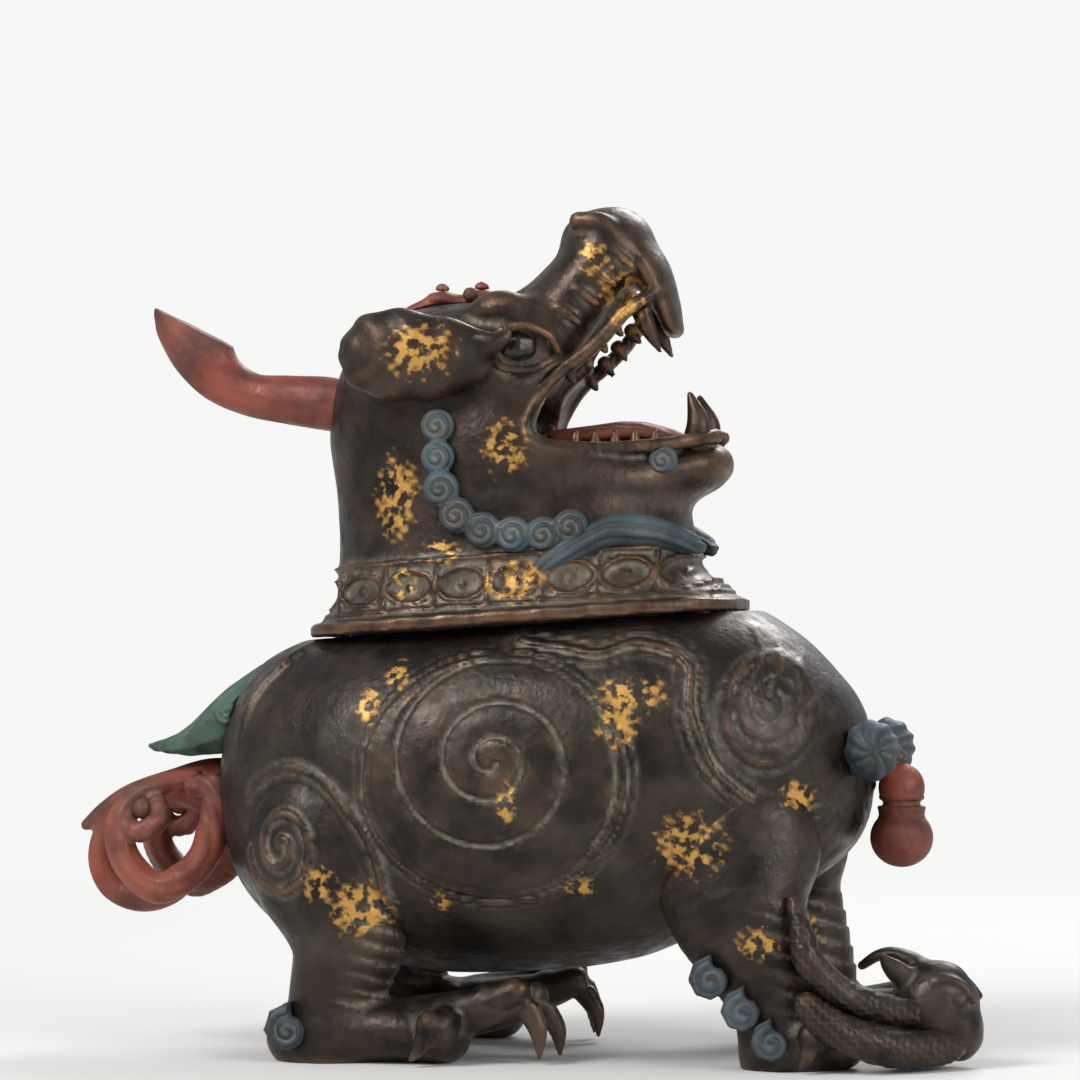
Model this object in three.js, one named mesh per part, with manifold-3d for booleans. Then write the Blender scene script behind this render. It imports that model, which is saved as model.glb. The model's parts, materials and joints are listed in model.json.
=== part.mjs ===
// A bronze incense burner in the shape of a standing beast, head thrown back and jaws open.
// The belly is the ash bowl. The head and neck are its cover, which lifts off the belly's
// mouth, and the smoke leaves through the open jaws. One forefoot stands on a serpent.
// Millimetres. +X is the way the beast faces, +Y its left, +Z up, and z = 0 the ground.

import * as THREE from "three";
import { mergeVertices } from "three/addons/utils/BufferGeometryUtils.js";
import Module from "manifold-3d";

const wasm = await Module();
wasm.setup();

// Driving dimensions
const WALL = 4.5; // wall of the two hollow castings
const SEAM = 0.3; // gap between two castings that touch
const DECK_HEIGHT = 178.4; // plane of the belly's mouth, measured above the ground at x = 0
const DECK_TILT = THREE.MathUtils.degToRad(3.7); // the mouth rises towards the chest
const COVER_X = -4; // centre of the mouth and of the cover's rim
const RIM_HALF_LENGTH = 91;
const RIM_HALF_WIDTH = 62;
const RIM_THICKNESS = 5;
const MOUTH_HALF_LENGTH = 76;
const MOUTH_HALF_WIDTH = 47;
const TONGUE_DEPTH = 10; // how far the cover's locating tongue reaches into the mouth
const TONGUE_CLEARANCE = 1.2;
const RUMP_X = -136;
const CHEST_X = 141;
const STANCE = 56; // sideways distance from the centre plane to each leg

// Colours read from the object: lacquered bronze, cinnabar red, malachite, azurite, dust
const bronze = new THREE.MeshStandardMaterial({ color: 0x2b2320, roughness: 0.42, metalness: 0.75 });
const russet = new THREE.MeshStandardMaterial({ color: 0x3f2618, roughness: 0.35, metalness: 0.75 });
const cinnabar = new THREE.MeshStandardMaterial({ color: 0x8c2f20, roughness: 0.6, metalness: 0.1 });
const malachite = new THREE.MeshStandardMaterial({ color: 0x2f5a49, roughness: 0.7, metalness: 0.1 });
const azurite = new THREE.MeshStandardMaterial({ color: 0x35506a, roughness: 0.65, metalness: 0.2 });
const dusty = new THREE.MeshStandardMaterial({ color: 0x565046, roughness: 0.8, metalness: 0.2 });

const Y = new THREE.Vector3(0, 1, 0);

// Solids and the two operations on them

function solidOf(geometry) {
  const bare = new THREE.BufferGeometry();
  bare.setAttribute("position", geometry.getAttribute("position"));
  bare.setIndex(geometry.index);
  const merged = mergeVertices(bare, 1e-4);
  return new wasm.Manifold(
    new wasm.Mesh({
      numProp: 3,
      vertProperties: merged.attributes.position.array,
      triVerts: new Uint32Array(merged.index.array),
    }),
  );
}

// The largest single body of a solid, as geometry.
function geometryOf(solid) {
  const bodies = solid.decompose();
  const largest = bodies.reduce((a, b) => (b.volume() > a.volume() ? b : a));
  const mesh = largest.getMesh();
  const geometry = new THREE.BufferGeometry();
  geometry.setAttribute("position", new THREE.BufferAttribute(new Float32Array(mesh.vertProperties), 3));
  geometry.setIndex(new THREE.BufferAttribute(new Uint32Array(mesh.triVerts), 1));
  return geometry;
}

function join(...pieces) {
  return geometryOf(pieces.map(solidOf).reduce((a, b) => a.add(b)));
}

function cut(piece, ...tools) {
  return geometryOf(tools.map(solidOf).reduce((a, b) => a.subtract(b), solidOf(piece)));
}

// The same surface moved outwards by gap along its vertex normals.
function grown(geometry, gap) {
  const bare = new THREE.BufferGeometry();
  bare.setAttribute("position", geometry.getAttribute("position"));
  bare.setIndex(geometry.index);
  const merged = mergeVertices(bare, 1e-4);
  merged.computeVertexNormals();
  const position = merged.attributes.position;
  const normal = merged.attributes.normal;
  const point = new THREE.Vector3();
  const outward = new THREE.Vector3();
  for (let i = 0; i < position.count; i += 1) {
    outward.fromBufferAttribute(normal, i);
    point.fromBufferAttribute(position, i).addScaledVector(outward, gap);
    position.setXYZ(i, point.x, point.y, point.z);
  }
  merged.deleteAttribute("normal");
  return merged;
}

// A piece trimmed to sit against its neighbours, a seam away from each.
function seat(piece, ...neighbours) {
  return cut(piece, ...neighbours.flatMap((neighbour) => [grown(neighbour, SEAM), neighbour]));
}

// The left-hand twin of a right-hand piece.
function mirrored(geometry) {
  const twin = geometry.clone().applyMatrix4(new THREE.Matrix4().makeScale(1, -1, 1));
  const index = twin.index.array;
  for (let i = 0; i < index.length; i += 3) {
    const swap = index[i + 1];
    index[i + 1] = index[i + 2];
    index[i + 2] = swap;
  }
  return twin;
}

// Lofts, sweeps and rounds

// A smooth curve through [x, value] pairs, read at x, which never overshoots its pairs.
function profile(pairs) {
  const slope = (i) => (pairs[i + 1][1] - pairs[i][1]) / (pairs[i + 1][0] - pairs[i][0]);
  const tangent = (i) => {
    if (i === 0) return slope(0);
    if (i === pairs.length - 1) return slope(i - 1);
    const before = slope(i - 1);
    const after = slope(i);
    return before * after <= 0 ? 0 : (2 * before * after) / (before + after);
  };
  return (x) => {
    let i = 0;
    while (i < pairs.length - 2 && x > pairs[i + 1][0]) i += 1;
    const width = pairs[i + 1][0] - pairs[i][0];
    const t = THREE.MathUtils.clamp((x - pairs[i][0]) / width, 0, 1);
    const rise = pairs[i + 1][1] - pairs[i][1];
    const m0 = tangent(i) * width;
    const m1 = tangent(i + 1) * width;
    return pairs[i][1] + t * m0 + t * t * (3 * rise - 2 * m0 - m1) + t * t * t * (m0 + m1 - 2 * rise);
  };
}

// Points round a superellipse: power 2 is an ellipse, more is squarer.
function ring(centre, across, up, halfAcross, halfUp, power, count) {
  const squared = (value) => Math.sign(value) * Math.abs(value) ** (2 / power);
  return Array.from({ length: count }, (_, i) => {
    const angle = (2 * Math.PI * i) / count;
    return centre
      .clone()
      .addScaledVector(across, halfAcross * squared(Math.cos(angle)))
      .addScaledVector(up, halfUp * squared(Math.sin(angle)));
  });
}

// A closed solid through rings of points, with a fan at both ends.
function loft(rings) {
  const count = rings[0].length;
  const centre = (points) => points.reduce((sum, p) => sum.add(p), new THREE.Vector3()).divideScalar(count);
  const points = [...rings.flat(), centre(rings[0]), centre(rings.at(-1))];
  const first = rings.length * count;
  const last = first + 1;
  const index = [];
  for (let i = 0; i < count; i += 1) {
    const next = (i + 1) % count;
    for (let r = 0; r < rings.length - 1; r += 1) {
      const a = r * count;
      const b = a + count;
      index.push(a + i, a + next, b + next, a + i, b + next, b + i);
    }
    const top = (rings.length - 1) * count;
    index.push(first, next, i, last, top + i, top + next);
  }
  return facingOut(points, index);
}

// A geometry from points and triangles, turned round if its faces point inwards.
function facingOut(points, index) {
  let volume = 0;
  for (let i = 0; i < index.length; i += 3) {
    const [a, b, c] = [points[index[i]], points[index[i + 1]], points[index[i + 2]]];
    volume += a.dot(new THREE.Vector3().crossVectors(b, c));
  }
  const faces = volume > 0 ? index : index.slice().reverse();
  const geometry = new THREE.BufferGeometry().setFromPoints(points);
  geometry.setIndex(faces);
  return geometry;
}

// A limb or lock: stations of [x, y, z, half depth, half width] joined by a smooth curve.
// Half width is measured along `level`, half depth square to it and to the curve. Round ends.
function limb(stations, { sides = 10, steps = 12, power = 2, level = Y } = {}) {
  const path = new THREE.CatmullRomCurve3(stations.map(([x, y, z]) => new THREE.Vector3(x, y, z)));
  const sizes = new THREE.CatmullRomCurve3(stations.map(([, , , deep, wide]) => new THREE.Vector3(deep, wide, 0)));
  const section = (t, along, share) => {
    const tangent = path.getTangent(t).normalize();
    const wide = level.clone().addScaledVector(tangent, -level.dot(tangent)).normalize();
    const deep = new THREE.Vector3().crossVectors(tangent, wide);
    const size = sizes.getPoint(t);
    const centre = path.getPoint(t).addScaledVector(tangent, along * Math.min(size.x, size.y));
    return ring(centre, deep, wide, size.x * share, size.y * share, power, sides);
  };
  const rings = [section(0, -0.62, 0.5)];
  for (let i = 0; i <= steps; i += 1) rings.push(section(i / steps, 0, 1));
  rings.push(section(1, 0.62, 0.5));
  return loft(rings);
}

function ball(x, y, z, halfX, halfY, halfZ, around = 12, down = 8) {
  const geometry = new THREE.SphereGeometry(1, around, down);
  geometry.deleteAttribute("normal");
  geometry.deleteAttribute("uv");
  geometry.rotateX(Math.PI / 2).scale(halfX, halfY, halfZ).translate(x, y, z);
  return mergeVertices(geometry, 1e-4);
}

// A plate with a smooth outline in the XZ plane, running from y = from to y = to.
function slab(outline, from, to) {
  const shape = new THREE.Shape(outline.map(([x, z]) => new THREE.Vector2(x, z)));
  const plate = new THREE.ExtrudeGeometry(shape, { depth: to - from, bevelEnabled: false });
  plate.rotateX(Math.PI / 2).translate(0, to, 0);
  const bare = new THREE.BufferGeometry();
  bare.setAttribute("position", plate.getAttribute("position"));
  return mergeVertices(bare, 1e-4);
}

// A snail coil: one rounded band winding out from its centre, on any surface.
// place(x, z, rise) gives the point that lies rise above the surface at x, z.
function coil({ halfX, halfZ, turns, rise, place, depth, steps = 16, handed = 1, start = Math.PI / 2 }) {
  const count = Math.round(turns * steps);
  const reach = (step) => Math.max(step, 0) / count;
  const at = (share, step, height) => {
    const angle = start - handed * 2 * Math.PI * (step / steps);
    return place(halfX * share * Math.cos(angle), halfZ * share * Math.sin(angle), height);
  };
  const edge = (step) => at(0.14 + 0.86 * reach(step), step, rise * 0.25);
  const inner = (step) => (step < steps ? 0 : 0.14 + 0.86 * reach(step - steps));
  const crest = (step) => at((inner(step) + 0.14 + 0.86 * reach(step)) / 2, step, rise);
  const points = [place(0, 0, rise)];
  for (let i = 0; i <= count; i += 1) points.push(edge(i), crest(i));
  const edgeAt = (step) => 1 + 2 * step;
  const crestAt = (step) => 2 + 2 * step;
  const innerAt = (step) => (step < steps ? 0 : edgeAt(step - steps));
  const index = [];
  const face = (a, b, c) => {
    if (a !== b && b !== c && c !== a) index.push(a, b, c);
  };
  for (let i = 0; i < count; i += 1) {
    face(innerAt(i), crestAt(i + 1), crestAt(i));
    face(innerAt(i), innerAt(i + 1), crestAt(i + 1));
    face(crestAt(i), crestAt(i + 1), edgeAt(i + 1));
    face(crestAt(i), edgeAt(i + 1), edgeAt(i));
  }
  face(0, crestAt(0), edgeAt(0));
  const border = [];
  for (let i = count - steps; i <= count; i += 1) border.push(edgeAt(i));
  border.push(crestAt(count));
  const sunk = points.length;
  const sink = (id) => {
    const step = Math.floor((id - 1) / 2);
    const share = id % 2 === 1 ? 0.14 + 0.86 * reach(step) : (inner(step) + 0.14 + 0.86 * reach(step)) / 2;
    return at(id === 0 ? 0 : share, step, -depth);
  };
  border.forEach((id) => points.push(sink(id)));
  points.push(place(0, 0, -depth));
  const middle = points.length - 1;
  border.forEach((id, i) => {
    const next = (i + 1) % border.length;
    index.push(id, border[next], sunk + next, id, sunk + next, sunk + i);
    index.push(middle, sunk + i, sunk + next);
  });
  return facingOut(points, index);
}

// The coil's flat form, standing on a plane of constant y and facing away from the beast.
function curl(x, y, z, radius, { turns = 1.75, thick = 5, rise = 2, steps = 10, handed = 1, start = 0, lean = 0 } = {}) {
  const flat = coil({
    halfX: radius,
    halfZ: radius,
    turns,
    rise,
    steps,
    handed,
    start,
    depth: thick,
    place: (u, w, height) => new THREE.Vector3(u, -height, w),
  });
  return flat.rotateZ(lean).translate(x, y, z);
}

// The belly

const topLine = profile([
  [RUMP_X, 105], [-133, 128], [-126, 150], [-115, 164], [-96, 173], [-60, 182], [0, 188],
  [50, 190], [88, 186], [107, 176], [124, 160], [137, 141], [CHEST_X, 112],
]);
const bottomLine = profile([
  [RUMP_X, 105], [-131, 82], [-120, 62], [-103, 48], [-70, 38], [-30, 33], [12, 35],
  [43, 40], [68, 50], [100, 64], [120, 76], [132, 87], [138, 98], [CHEST_X, 112],
]);
const halfWidth = profile([
  [RUMP_X, 0], [-133, 22], [-126, 40], [-112, 56], [-90, 70], [-50, 82], [0, 85],
  [45, 83], [80, 75], [105, 63], [125, 46], [136, 26], [CHEST_X, 0],
]);
const BELLY_POWER = 2.35;

// The y of the belly's right side at x, z, or the centre plane where it has ended.
function bellySide(x, z) {
  const middle = (topLine(x) + bottomLine(x)) / 2;
  const half = Math.max((topLine(x) - bottomLine(x)) / 2, 0.01);
  const share = 1 - Math.abs((z - middle) / half) ** BELLY_POWER;
  return -halfWidth(x) * Math.max(share, 0) ** (1 / BELLY_POWER);
}

function belly(offset, stations, sides) {
  const middle = (RUMP_X + CHEST_X) / 2;
  const half = (CHEST_X - RUMP_X) / 2;
  const rings = [];
  for (let i = 1; i < stations; i += 1) {
    const share = -Math.cos((Math.PI * i) / stations);
    const x = middle + share * half;
    const centre = new THREE.Vector3(middle + share * (half + offset), 0, (topLine(x) + bottomLine(x)) / 2);
    const tall = Math.max((topLine(x) - bottomLine(x)) / 2 + offset, 0.6);
    const wide = Math.max(halfWidth(x) + offset, 0.6);
    rings.push(ring(centre, Y, new THREE.Vector3(0, 0, 1), wide, tall, BELLY_POWER, sides));
  }
  return loft(rings);
}

// A prism square to the mouth's plane, from one height above that plane to another.
function deckPrism(halfLength, halfWide, from, to, count = 16, power = 3) {
  const along = new THREE.Vector3(Math.cos(DECK_TILT), 0, Math.sin(DECK_TILT));
  const normal = new THREE.Vector3(-Math.sin(DECK_TILT), 0, Math.cos(DECK_TILT));
  const base = new THREE.Vector3(COVER_X, 0, DECK_HEIGHT + COVER_X * Math.tan(DECK_TILT));
  return loft([from, to].map((height) =>
    ring(base.clone().addScaledVector(normal, height), along, Y, halfLength, halfWide, power, count)));
}

const groundTool = new THREE.BoxGeometry(600, 400, 60).translate(0, 0, -30);
const flankPlace = (x, z) => (u, w, height) =>
  new THREE.Vector3(x + u, bellySide(x + u, z + w) - height, z + w);

// A round line cast on the flank: points are [x, z], and the line stands proud of the surface.
function flankLine(points, radius, closed = false) {
  const path = new THREE.CatmullRomCurve3(
    points.map(([x, z]) => new THREE.Vector3(x, bellySide(x, z) - radius * 0.2, z)), closed);
  const steps = closed ? 16 : 8;
  const rings = Array.from({ length: closed ? steps : steps + 1 }, (_, i) => {
    const tangent = path.getTangent(i / steps);
    const across = new THREE.Vector3().crossVectors(tangent, Y).normalize();
    const out = new THREE.Vector3().crossVectors(across, tangent).normalize();
    return ring(path.getPoint(i / steps), across, out, radius, radius, 2, 4);
  });
  return closed ? hoop(rings) : loft(rings);
}

// A closed solid through rings of points whose last ring joins its first.
function hoop(rings) {
  const count = rings[0].length;
  const index = [];
  rings.forEach((_, r) => {
    const a = r * count;
    const b = ((r + 1) % rings.length) * count;
    for (let i = 0; i < count; i += 1) {
      const next = (i + 1) % count;
      index.push(a + i, a + next, b + next, a + i, b + next, b + i);
    }
  });
  return facingOut(rings.flat(), index);
}

const FLANK_COIL = { x: -4, z: 123, halfX: 39, halfZ: 37 };
const SHOULDER_COIL = { x: 106, z: 146, halfX: 16, halfZ: 20 };

function flankRelief() {
  const flank = coil({
    ...FLANK_COIL,
    turns: 2.25,
    rise: 3,
    depth: 2.5,
    steps: 10,
    place: flankPlace(FLANK_COIL.x, FLANK_COIL.z),
  });
  const shoulder = coil({
    ...SHOULDER_COIL,
    turns: 1.75,
    rise: 1.8,
    depth: 2.5,
    steps: 8,
    handed: -1,
    place: flankPlace(SHOULDER_COIL.x, SHOULDER_COIL.z),
  });
  const hoopPoints = Array.from({ length: 12 }, (_, i) => {
    const angle = (i / 12) * 2 * Math.PI;
    return [FLANK_COIL.x + 1 + 52 * Math.cos(angle), FLANK_COIL.z - 6 + 47 * Math.sin(angle)];
  });
  const sweepLine = [[15, 168], [38, 165], [60, 160], [72, 146], [74, 126], [84, 110], [100, 103], [114, 105]];
  return [flank, shoulder, flankLine(hoopPoints, 1.3, true), flankLine(sweepLine, 1.3)];
}

function bellyOutside() {
  const relief = flankRelief();
  const skin = join(belly(0, 16, 20), ...relief, ...relief.map(mirrored));
  return cut(skin, deckPrism(200, 200, 0, 60, 4, 2));
}

const bellySkin = bellyOutside();

function vesselBody() {
  const hollow = cut(belly(-WALL, 10, 12), deckPrism(200, 200, -WALL, 60, 4, 2));
  const mouth = deckPrism(MOUTH_HALF_LENGTH, MOUTH_HALF_WIDTH, -20, 10);
  return cut(bellySkin, hollow, mouth);
}

// Legs and feet, right-hand side. Each toe ends in a hooked claw.

function toe(base, knuckle, end, radius, claw) {
  const finger = limb(
    [[...base, radius * 1.2, radius * 1.2], [...knuckle, radius, radius], [...end, radius * 0.75, radius * 0.75]],
    { sides: 6, steps: 3 });
  const [x, y, z] = end;
  const [tipX, tipY] = claw;
  const nail = limb(
    [[x, y, z, radius * 0.62, radius * 0.5], [(x + tipX * 2) / 3 + 2, (y + tipY) / 2, z * 0.55, radius * 0.55, radius * 0.42],
      [tipX, tipY, 2.2, 0.8, 0.8]],
    { sides: 4, steps: 2 });
  return join(finger, nail);
}

const HAUNCH = { x: -76, y: -54, z: 86, halfX: 36, halfY: 26, halfZ: 40 };

function haunchSide(x, z) {
  const share = 1 - ((x - HAUNCH.x) / HAUNCH.halfX) ** 2 - ((z - HAUNCH.z) / HAUNCH.halfZ) ** 2;
  return HAUNCH.y - HAUNCH.halfY * Math.sqrt(Math.max(share, 0));
}

function hindLeg() {
  const thigh = ball(HAUNCH.x, HAUNCH.y, HAUNCH.z, HAUNCH.halfX, HAUNCH.halfY, HAUNCH.halfZ, 10, 6);
  const shin = limb([
    [-76, -50, 84, 30, 20], [-70, -STANCE, 62, 27, 21], [-69, -STANCE - 1, 46, 23, 20],
    [-74, -STANCE - 1, 30, 19, 17], [-77, -STANCE - 1, 14, 18, 16], [-78, -STANCE - 1, 3, 18, 16],
  ], { sides: 9, steps: 6 });
  const sole = limb([
    [-92, -STANCE, 9, 11, 13], [-74, -STANCE, 11, 13, 17], [-48, -STANCE - 1, 13, 13, 18], [-28, -STANCE - 2, 10, 10, 17],
  ], { sides: 8, steps: 4, power: 2.6 });
  const outer = toe([-36, -62, 15], [-27, -72, 15], [-30, -77, 17], 7.5, [-38, -80]);
  const middle = toe([-38, -60, 17], [-12, -62, 23], [2, -62, 29], 8.5, [12, -62]);
  const inner = toe([-36, -50, 16], [-8, -47, 21], [6, -45, 26], 8, [17, -44]);
  const spiral = coil({
    halfX: 13,
    halfZ: 14,
    turns: 1.5,
    rise: 2,
    depth: 2,
    steps: 8,
    place: (u, w, height) => new THREE.Vector3(-88 + u, haunchSide(-88 + u, 88 + w) - height, 88 + w),
  });
  const limbs = join(thigh, shin, sole, outer, middle, inner, spiral);
  return cut(limbs, groundTool);
}

function foreLeg() {
  const shoulder = ball(88, -48, 88, 36, 24, 34, 10, 6);
  const shin = limb([
    [88, -50, 84, 32, 20], [91, -STANCE, 66, 29, 20], [99, -STANCE, 48, 24, 19],
    [106, -STANCE, 32, 20, 17], [110, -STANCE, 16, 18, 16], [111, -STANCE, 3, 18, 16],
  ], { sides: 9, steps: 6 });
  const sole = limb([
    [104, -STANCE, 9, 10, 14], [120, -STANCE, 11, 11, 17], [134, -STANCE + 1, 9, 9, 15],
  ], { sides: 8, steps: 4, power: 2.6 });
  const outer = toe([118, -62, 13], [125, -72, 13], [124, -77, 15], 6.5, [120, -80]);
  return join(shoulder, shin, sole, outer);
}

// The toes of a forefoot that stands on the ground. The other foot's toes close on the serpent.
function foreToes() {
  const middle = toe([126, -58, 14], [148, -60, 20], [160, -60, 25], 8, [170, -60]);
  const inner = toe([126, -50, 13], [150, -46, 18], [162, -44, 23], 7.5, [173, -43]);
  return join(middle, inner);
}

// The serpent under the right forefoot

function serpentHead() {
  const skull = ball(170, -38, 23, 19, 17, 21, 12, 7);
  const snout = ball(181, -38, 14, 9, 12, 12, 8, 6);
  const ear = limb([[158, -44, 36, 5, 4], [152, -45, 42, 4, 3], [149, -46, 47, 1, 1]], { sides: 6, steps: 3 });
  const crest = limb([
    [164, -34, 40, 4, 6], [154, -33, 47, 2.5, 7], [146, -32, 46, 2, 6], [138, -31, 41, 1.5, 3],
  ], { sides: 8, steps: 6 });
  return cut(join(skull, snout, ear, crest), groundTool);
}

function serpentCoils() {
  const upper = limb([
    [116, -70, 68, 2.5, 2.5], [120, -74, 56, 5, 5], [124, -75, 43, 6.5, 6.5], [136, -72, 31, 7, 7],
    [150, -63, 25, 7, 7], [160, -52, 22, 6.5, 6.5],
  ], { sides: 8, steps: 11 });
  const lower = limb([
    [123, -82, 27, 6, 6], [133, -80, 19, 7.5, 7.5], [148, -73, 12, 8, 8], [162, -62, 9, 8, 8],
    [174, -50, 9, 7, 7], [181, -44, 11, 5, 5],
  ], { sides: 8, steps: 10 });
  return { upper, lower: cut(lower, groundTool) };
}

// The tail: a root with one lock on the centre plane, a curl on either side, and a leaf above

function tailRoot() {
  const root = limb([
    [-122, 0, 102, 17, 18], [-140, 0, 109, 13, 15], [-158, 0, 110, 8, 10], [-176, 0, 105, 7, 6],
    [-190, 0, 98, 6, 5], [-201, 0, 92, 2, 2],
  ], { sides: 8, steps: 8 });
  const lock = limb([
    [-176, 0, 104, 5, 6], [-189, 0, 93, 5.5, 6], [-194, 0, 79, 5.5, 6], [-188, 0, 66, 5.5, 6],
    [-174, 0, 60, 5.5, 6], [-160, 0, 63, 5, 5], [-148, 0, 73, 4, 4],
  ], { sides: 6, steps: 10 });
  return join(root, lock);
}

function tailCurl() {
  const hook = limb([
    [-144, -24, 110, 3, 4], [-134, -26, 111, 5.5, 6], [-132, -28, 98, 6, 7], [-139, -29, 78, 6, 7],
    [-157, -29, 66, 6.2, 7], [-172, -28, 76, 6, 7], [-177, -27, 92, 5.5, 6.5], [-170, -25, 106, 5, 6],
    [-158, -21, 113, 4, 6], [-146, -15, 117, 3, 6],
  ], { sides: 6, steps: 16 });
  const eye = limb([
    [-175, -28, 98, 4, 5], [-171, -29, 92, 4, 5], [-163, -29, 91, 4, 5], [-156, -28, 96, 4, 5], [-155, -27, 103, 3, 4],
  ], { sides: 5, steps: 6 });
  return join(hook, eye);
}

function rumpLeaf() {
  const blade = limb([
    [-103, 0, 158, 9, 14], [-118, 0, 149, 13, 22], [-132, 0, 136, 14, 26], [-147, 0, 129, 8.5, 22],
    [-160, 0, 126.5, 4.5, 13], [-170, 0, 127, 1.5, 3],
  ], { sides: 10, steps: 7, power: 2.2 });
  const hollow = limb([
    [-124, 0, 118, 12, 20], [-145, 0, 117, 9, 18], [-172, 0, 119, 6, 12],
  ], { sides: 10, steps: 5 });
  return cut(blade, hollow);
}

// The chest: a red gourd bell on a lug, and a tuft of mane on either side of it

function gourdBell() {
  const outline = [
    [0, 77.5], [6, 78.6], [11, 82.5], [13.8, 89], [12.6, 95.5], [9.4, 100.5], [9.2, 102], [9.9, 103.2], [9.2, 104.6],
    [9.4, 106], [10.4, 111], [9.6, 117], [6.4, 120.6], [3.2, 122.2], [0, 122.6],
  ].map(([radius, height]) => new THREE.Vector2(radius, height));
  const gourd = new THREE.LatheGeometry(outline, 12);
  gourd.rotateX(Math.PI / 2).translate(152, 0, 0);
  const bare = new THREE.BufferGeometry();
  bare.setAttribute("position", gourd.getAttribute("position"));
  bare.setIndex(gourd.index);
  const shell = mergeVertices(bare, 1e-3);
  const kept = [];
  for (let i = 0; i < shell.index.count; i += 3) {
    const face = [0, 1, 2].map((k) => shell.index.getX(i + k));
    if (new Set(face).size === 3) kept.push(...face);
  }
  shell.setIndex(kept);
  return shell;
}

function chestTuft() {
  const tuft = ball(143, -30, 127, 12, 13, 13, 14, 8);
  return tuft;
}

// The cover: collar, neck and skull in one hollow casting with the muzzle and lower jaw

// Stations of [x, z, tilt in degrees, half length, half width, power], from the rim upwards.
const NECK = [
  [COVER_X, DECK_HEIGHT + SEAM, 3.7, RIM_HALF_LENGTH, RIM_HALF_WIDTH, 3],
  [COVER_X, DECK_HEIGHT + RIM_THICKNESS, 3.7, RIM_HALF_LENGTH, RIM_HALF_WIDTH, 3],
  [COVER_X, 184.4, 3.7, 87, 59, 2.9],
  [-5, 192, 3.5, 80.5, 54.5, 2.8],
  [-8, 203, 3, 76.5, 51.5, 2.6],
  [-10, 218, 2, 74.5, 49, 2.4],
  [-12, 235, 0.8, 74, 47.5, 2.3],
  [-18, 252, 0, 71, 46.5, 2.2],
  [-26, 270, 0, 62, 45.5, 2.2],
  [-31, 286, 0, 53, 42.5, 2.2],
  [-33, 300, 0, 42, 36, 2.1],
  [-33, 309, 0, 28, 25, 2],
  [-33, 313, 0, 12, 11, 2],
];

function neck(offset, stations, count) {
  return loft(stations.map(([x, z, tilt, long, wide, power]) => {
    const angle = THREE.MathUtils.degToRad(tilt);
    const along = new THREE.Vector3(Math.cos(angle), 0, Math.sin(angle));
    const centre = new THREE.Vector3(x, 0, z + COVER_X * Math.tan(angle));
    return ring(centre, along, Y, long + offset, wide + offset, power, count);
  }));
}

const UPPER_LIP = [[3, 259], [3.5, 265], [8, 275], [15, 282], [24, 289], [31, 295], [41, 307], [51, 316]];
const LOWER_LIP = [[80, 257], [68, 255], [56, 252.5], [43, 251], [30, 250.5], [18, 251], [9, 253.5]];

function muzzle() {
  return limb([
    [-30, 0, 276, 32, 41], [-8, 0, 289, 27, 38], [8, 0, 303, 22, 33], [20, 0, 318, 19, 29], [29, 0, 331, 17, 27],
    [34, 0, 339, 13, 21],
  ], { sides: 10, steps: 5, power: 2.2 });
}

function lowerJaw() {
  return limb([
    [-14, 0, 242, 16, 42], [12, 0, 240, 15, 39], [34, 0, 239.5, 13.5, 34], [54, 0, 241, 12.5, 29],
    [67, 0, 243.5, 11.5, 23], [73, 0, 245, 10, 18],
  ], { sides: 10, steps: 4, power: 2.3 });
}

// The thick lip that runs from the nose, round the corner of the mouth, to the chin.
function lip(side) {
  const rim = [
    [50, 16, 317], [41, 24, 308], [31, 27.5, 296], [22, 30, 288], [12, 33, 280], [4.5, 35.5, 270], [1, 37, 261],
    [6, 37, 253.5], [18, 36, 251], [36, 32, 250.5], [54, 27, 252], [68, 20, 254.5], [77, 9, 256.5],
  ].map(([x, y, z]) => [x, side * y, z, 3.4, 3.6]);
  return limb(rim, { sides: 4, steps: 11, level: new THREE.Vector3(0, 1, 0.001) });
}

function headSolid() {
  const cheek = (side) => ball(-14, side * 35, 250, 27, 15, 23, 8, 5);
  const brow = (side) => limb([
    [-24, side * 24, 304, 7, 7], [-12, side * 25, 309, 8, 8], [0, side * 22, 306, 7, 7], [8, side * 16, 307, 5, 6],
  ], { sides: 6, steps: 4 });
  const nose = ball(27, 0, 340, 17, 21, 14, 10, 6);
  const beak = limb([
    [38, 0, 338, 9, 20], [47, 0, 327, 8, 20], [53, 0, 314, 6, 17], [57, 0, 302, 4, 12],
  ], { sides: 8, steps: 5 });
  const mouth = slab([...UPPER_LIP, [62, 300], [100, 305], [110, 262], ...LOWER_LIP], -70, 70);
  const skull = join(neck(0, NECK, 16), muzzle(), nose, cheek(-1), cheek(1), lowerJaw());
  const opened = cut(skull, mouth);
  return join(opened, beak, brow(-1), brow(1), lip(-1), lip(1));
}

const headSkin = headSolid();

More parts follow.
